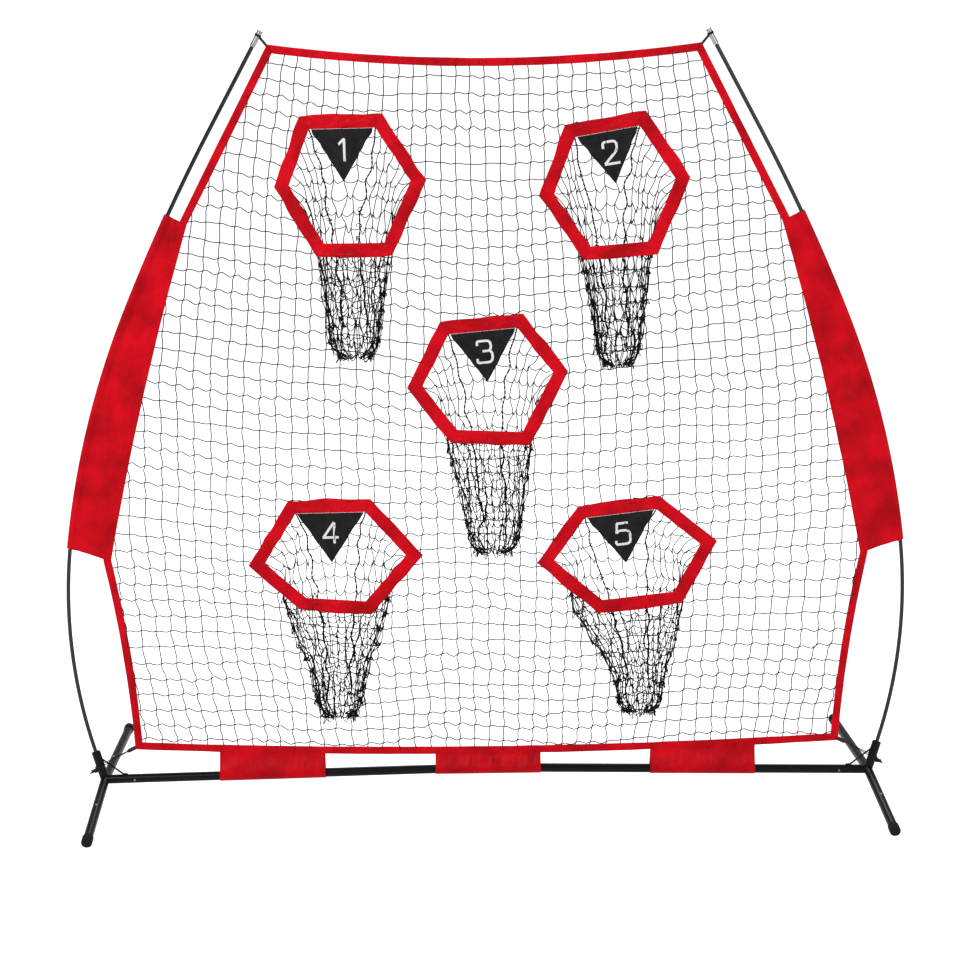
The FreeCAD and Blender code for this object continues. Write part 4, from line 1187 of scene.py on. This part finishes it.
# %% Corner cords
CORD_R = 0.0014
CORD_UP, CORD_RING_R = 0.042, 0.0156  # where and how wide it runs round the socket
HOOK_REACH = 0.0375
SOCKET = np.array([math.sin(SOCKET_LEAN), 0.0, math.cos(SOCKET_LEAN)])
ring_centre = np.array([HUB[0], NET_Y, HUB[1]]) + SOCKET * CORD_UP
corner = np.array([bottom_corner[0], NET_Y, bottom_corner[1]])
hook_way = unit(ring_centre + [0, 0.009, 0] - corner)
cord_start = corner + hook_way * HOOK_REACH
towards = cord_start - ring_centre
towards = unit(towards - SOCKET * (towards @ SOCKET))
aside = np.cross(SOCKET, towards)
for side, word in ((1.0, "right"), (-1.0, "left")):
    outwards = [cord_start + aside * 0.0016, cord_start + hook_way * 0.010 + aside * 0.0022]
    round_it = [ring_centre + CORD_RING_R * (towards * math.cos(t) + aside * math.sin(t))
                for t in np.radians([60, 100, 140, 180, 220, 260, 300])]
    back = [cord_start + hook_way * 0.010 - aside * 0.0022, cord_start - aside * 0.0016]
    route = np.array(outwards + round_it + back) * [side, 1.0, 1.0]
    curve = bpy.data.curves.new("elastic_cord_" + word, "CURVE")
    curve.dimensions = "3D"
    curve.bevel_depth, curve.bevel_resolution, curve.use_fill_caps = CORD_R, 3, True
    spline = curve.splines.new("NURBS")
    spline.points.add(len(route) - 1)
    spline.points.foreach_set("co", np.c_[route, np.ones(len(route))].ravel())
    spline.order_u, spline.use_endpoint_u, spline.resolution_u = 3, True, 8
    curve.materials.append(elastic)
    made = linked("elastic_cord_" + word, curve)
    settle(made, "corner_cord_" + word, slot="black_webbing")

# %% [markdown]
# ## Finishes of the rigid pieces
#
# The CAD nodes of the frame keep their shapes and take the finishes made above.

# %% Finishes by node name
FINISHES = {
    "corner_hub": powder_coat, "leg_": powder_coat, "base_bar": powder_coat,
    "snap_button": zinc, "button_springs": zinc, "foot_caps": rubber, "wing_screw": nylon,
    "pole_lower": pole_gloss, "pole_upper": pole_gloss, "pole_ferrules": aluminium,
    "pole_tip": aluminium, "corner_hook": nylon,
}
for name, piece in nodes.items():
    finish = [made for start, made in FINISHES.items() if name.startswith(start)]
    if finish:
        piece.data.materials.clear()
        piece.data.materials.append(finish[0])
print("finished nodes:", sum(not piece.hide_render for piece in nodes.values()))

# %% [markdown]
# ## Studio
#
# The floor and the world are plain white. The floor gives off part of its own light, so it
# matches the background and only a faint shadow is left on it.

# %% Floor, world and lights
FLOOR_REACH = 300.0
floor_material = new_material("studio_floor", Roughness=0.9, IOR=1.3,
                              Base_Color=linear("#e6e6e6"), Emission_Color=linear("#ffffff"))
floor_rays = add(floor_material, "ShaderNodeLightPath")
glow = add(floor_material, "ShaderNodeMapRange", {
    "Value": floor_rays.outputs["Is Camera Ray"], "To Min": 0.0, "To Max": 0.75})
feed(floor_material, "Emission Strength", glow.outputs["Result"])
floor_data = bpy.data.meshes.new("studio_floor")
floor_data.from_pydata([(x * FLOOR_REACH, y * FLOOR_REACH, 0) for x, y in
                        ((-1, -1), (1, -1), (1, 1), (-1, 1))], [], [(0, 1, 2, 3)])
floor_data.materials.append(floor_material)
floor = linked("studio_floor", floor_data)

world = bpy.data.worlds.new("studio_world")
bpy.context.scene.world = world
world.use_nodes = True
background = world.node_tree.nodes["Background"]
background.inputs["Color"].default_value = (1.0, 1.0, 1.0, 1.0)
rays = add(world, "ShaderNodeLightPath")
seen = add(world, "ShaderNodeMapRange", {
    "Value": rays.outputs["Is Camera Ray"], "To Min": 0.62, "To Max": 1.0})
strength = add(world, "ShaderNodeMath", {
    0: rays.outputs["Is Glossy Ray"], 1: -0.42, 2: seen.outputs["Result"]},
    operation="MULTIPLY_ADD")
world.node_tree.links.new(strength.outputs[0], background.inputs["Strength"])

LIGHTS = [
    ("key_light", (-3.5, -5.0, 5.5), 2.4, 230.0),
    ("fill_light", (4.5, -5.5, 3.5), 3.0, 80.0),
    ("back_light", (0.5, 4.5, 4.5), 3.0, 80.0),
]
for name, place, size, power in LIGHTS:
    lamp = bpy.data.lights.new(name, "AREA")
    lamp.size, lamp.energy = size, power
    away = -unit(np.array([0.0, NET_Y, 1.0]) - place)
    across = unit(np.cross((0.0, 0.0, 1.0), away))
    linked(name, lamp).matrix_world = posed(across, np.cross(away, across), away, place)
bpy.context.scene.view_settings.view_transform = "Standard"
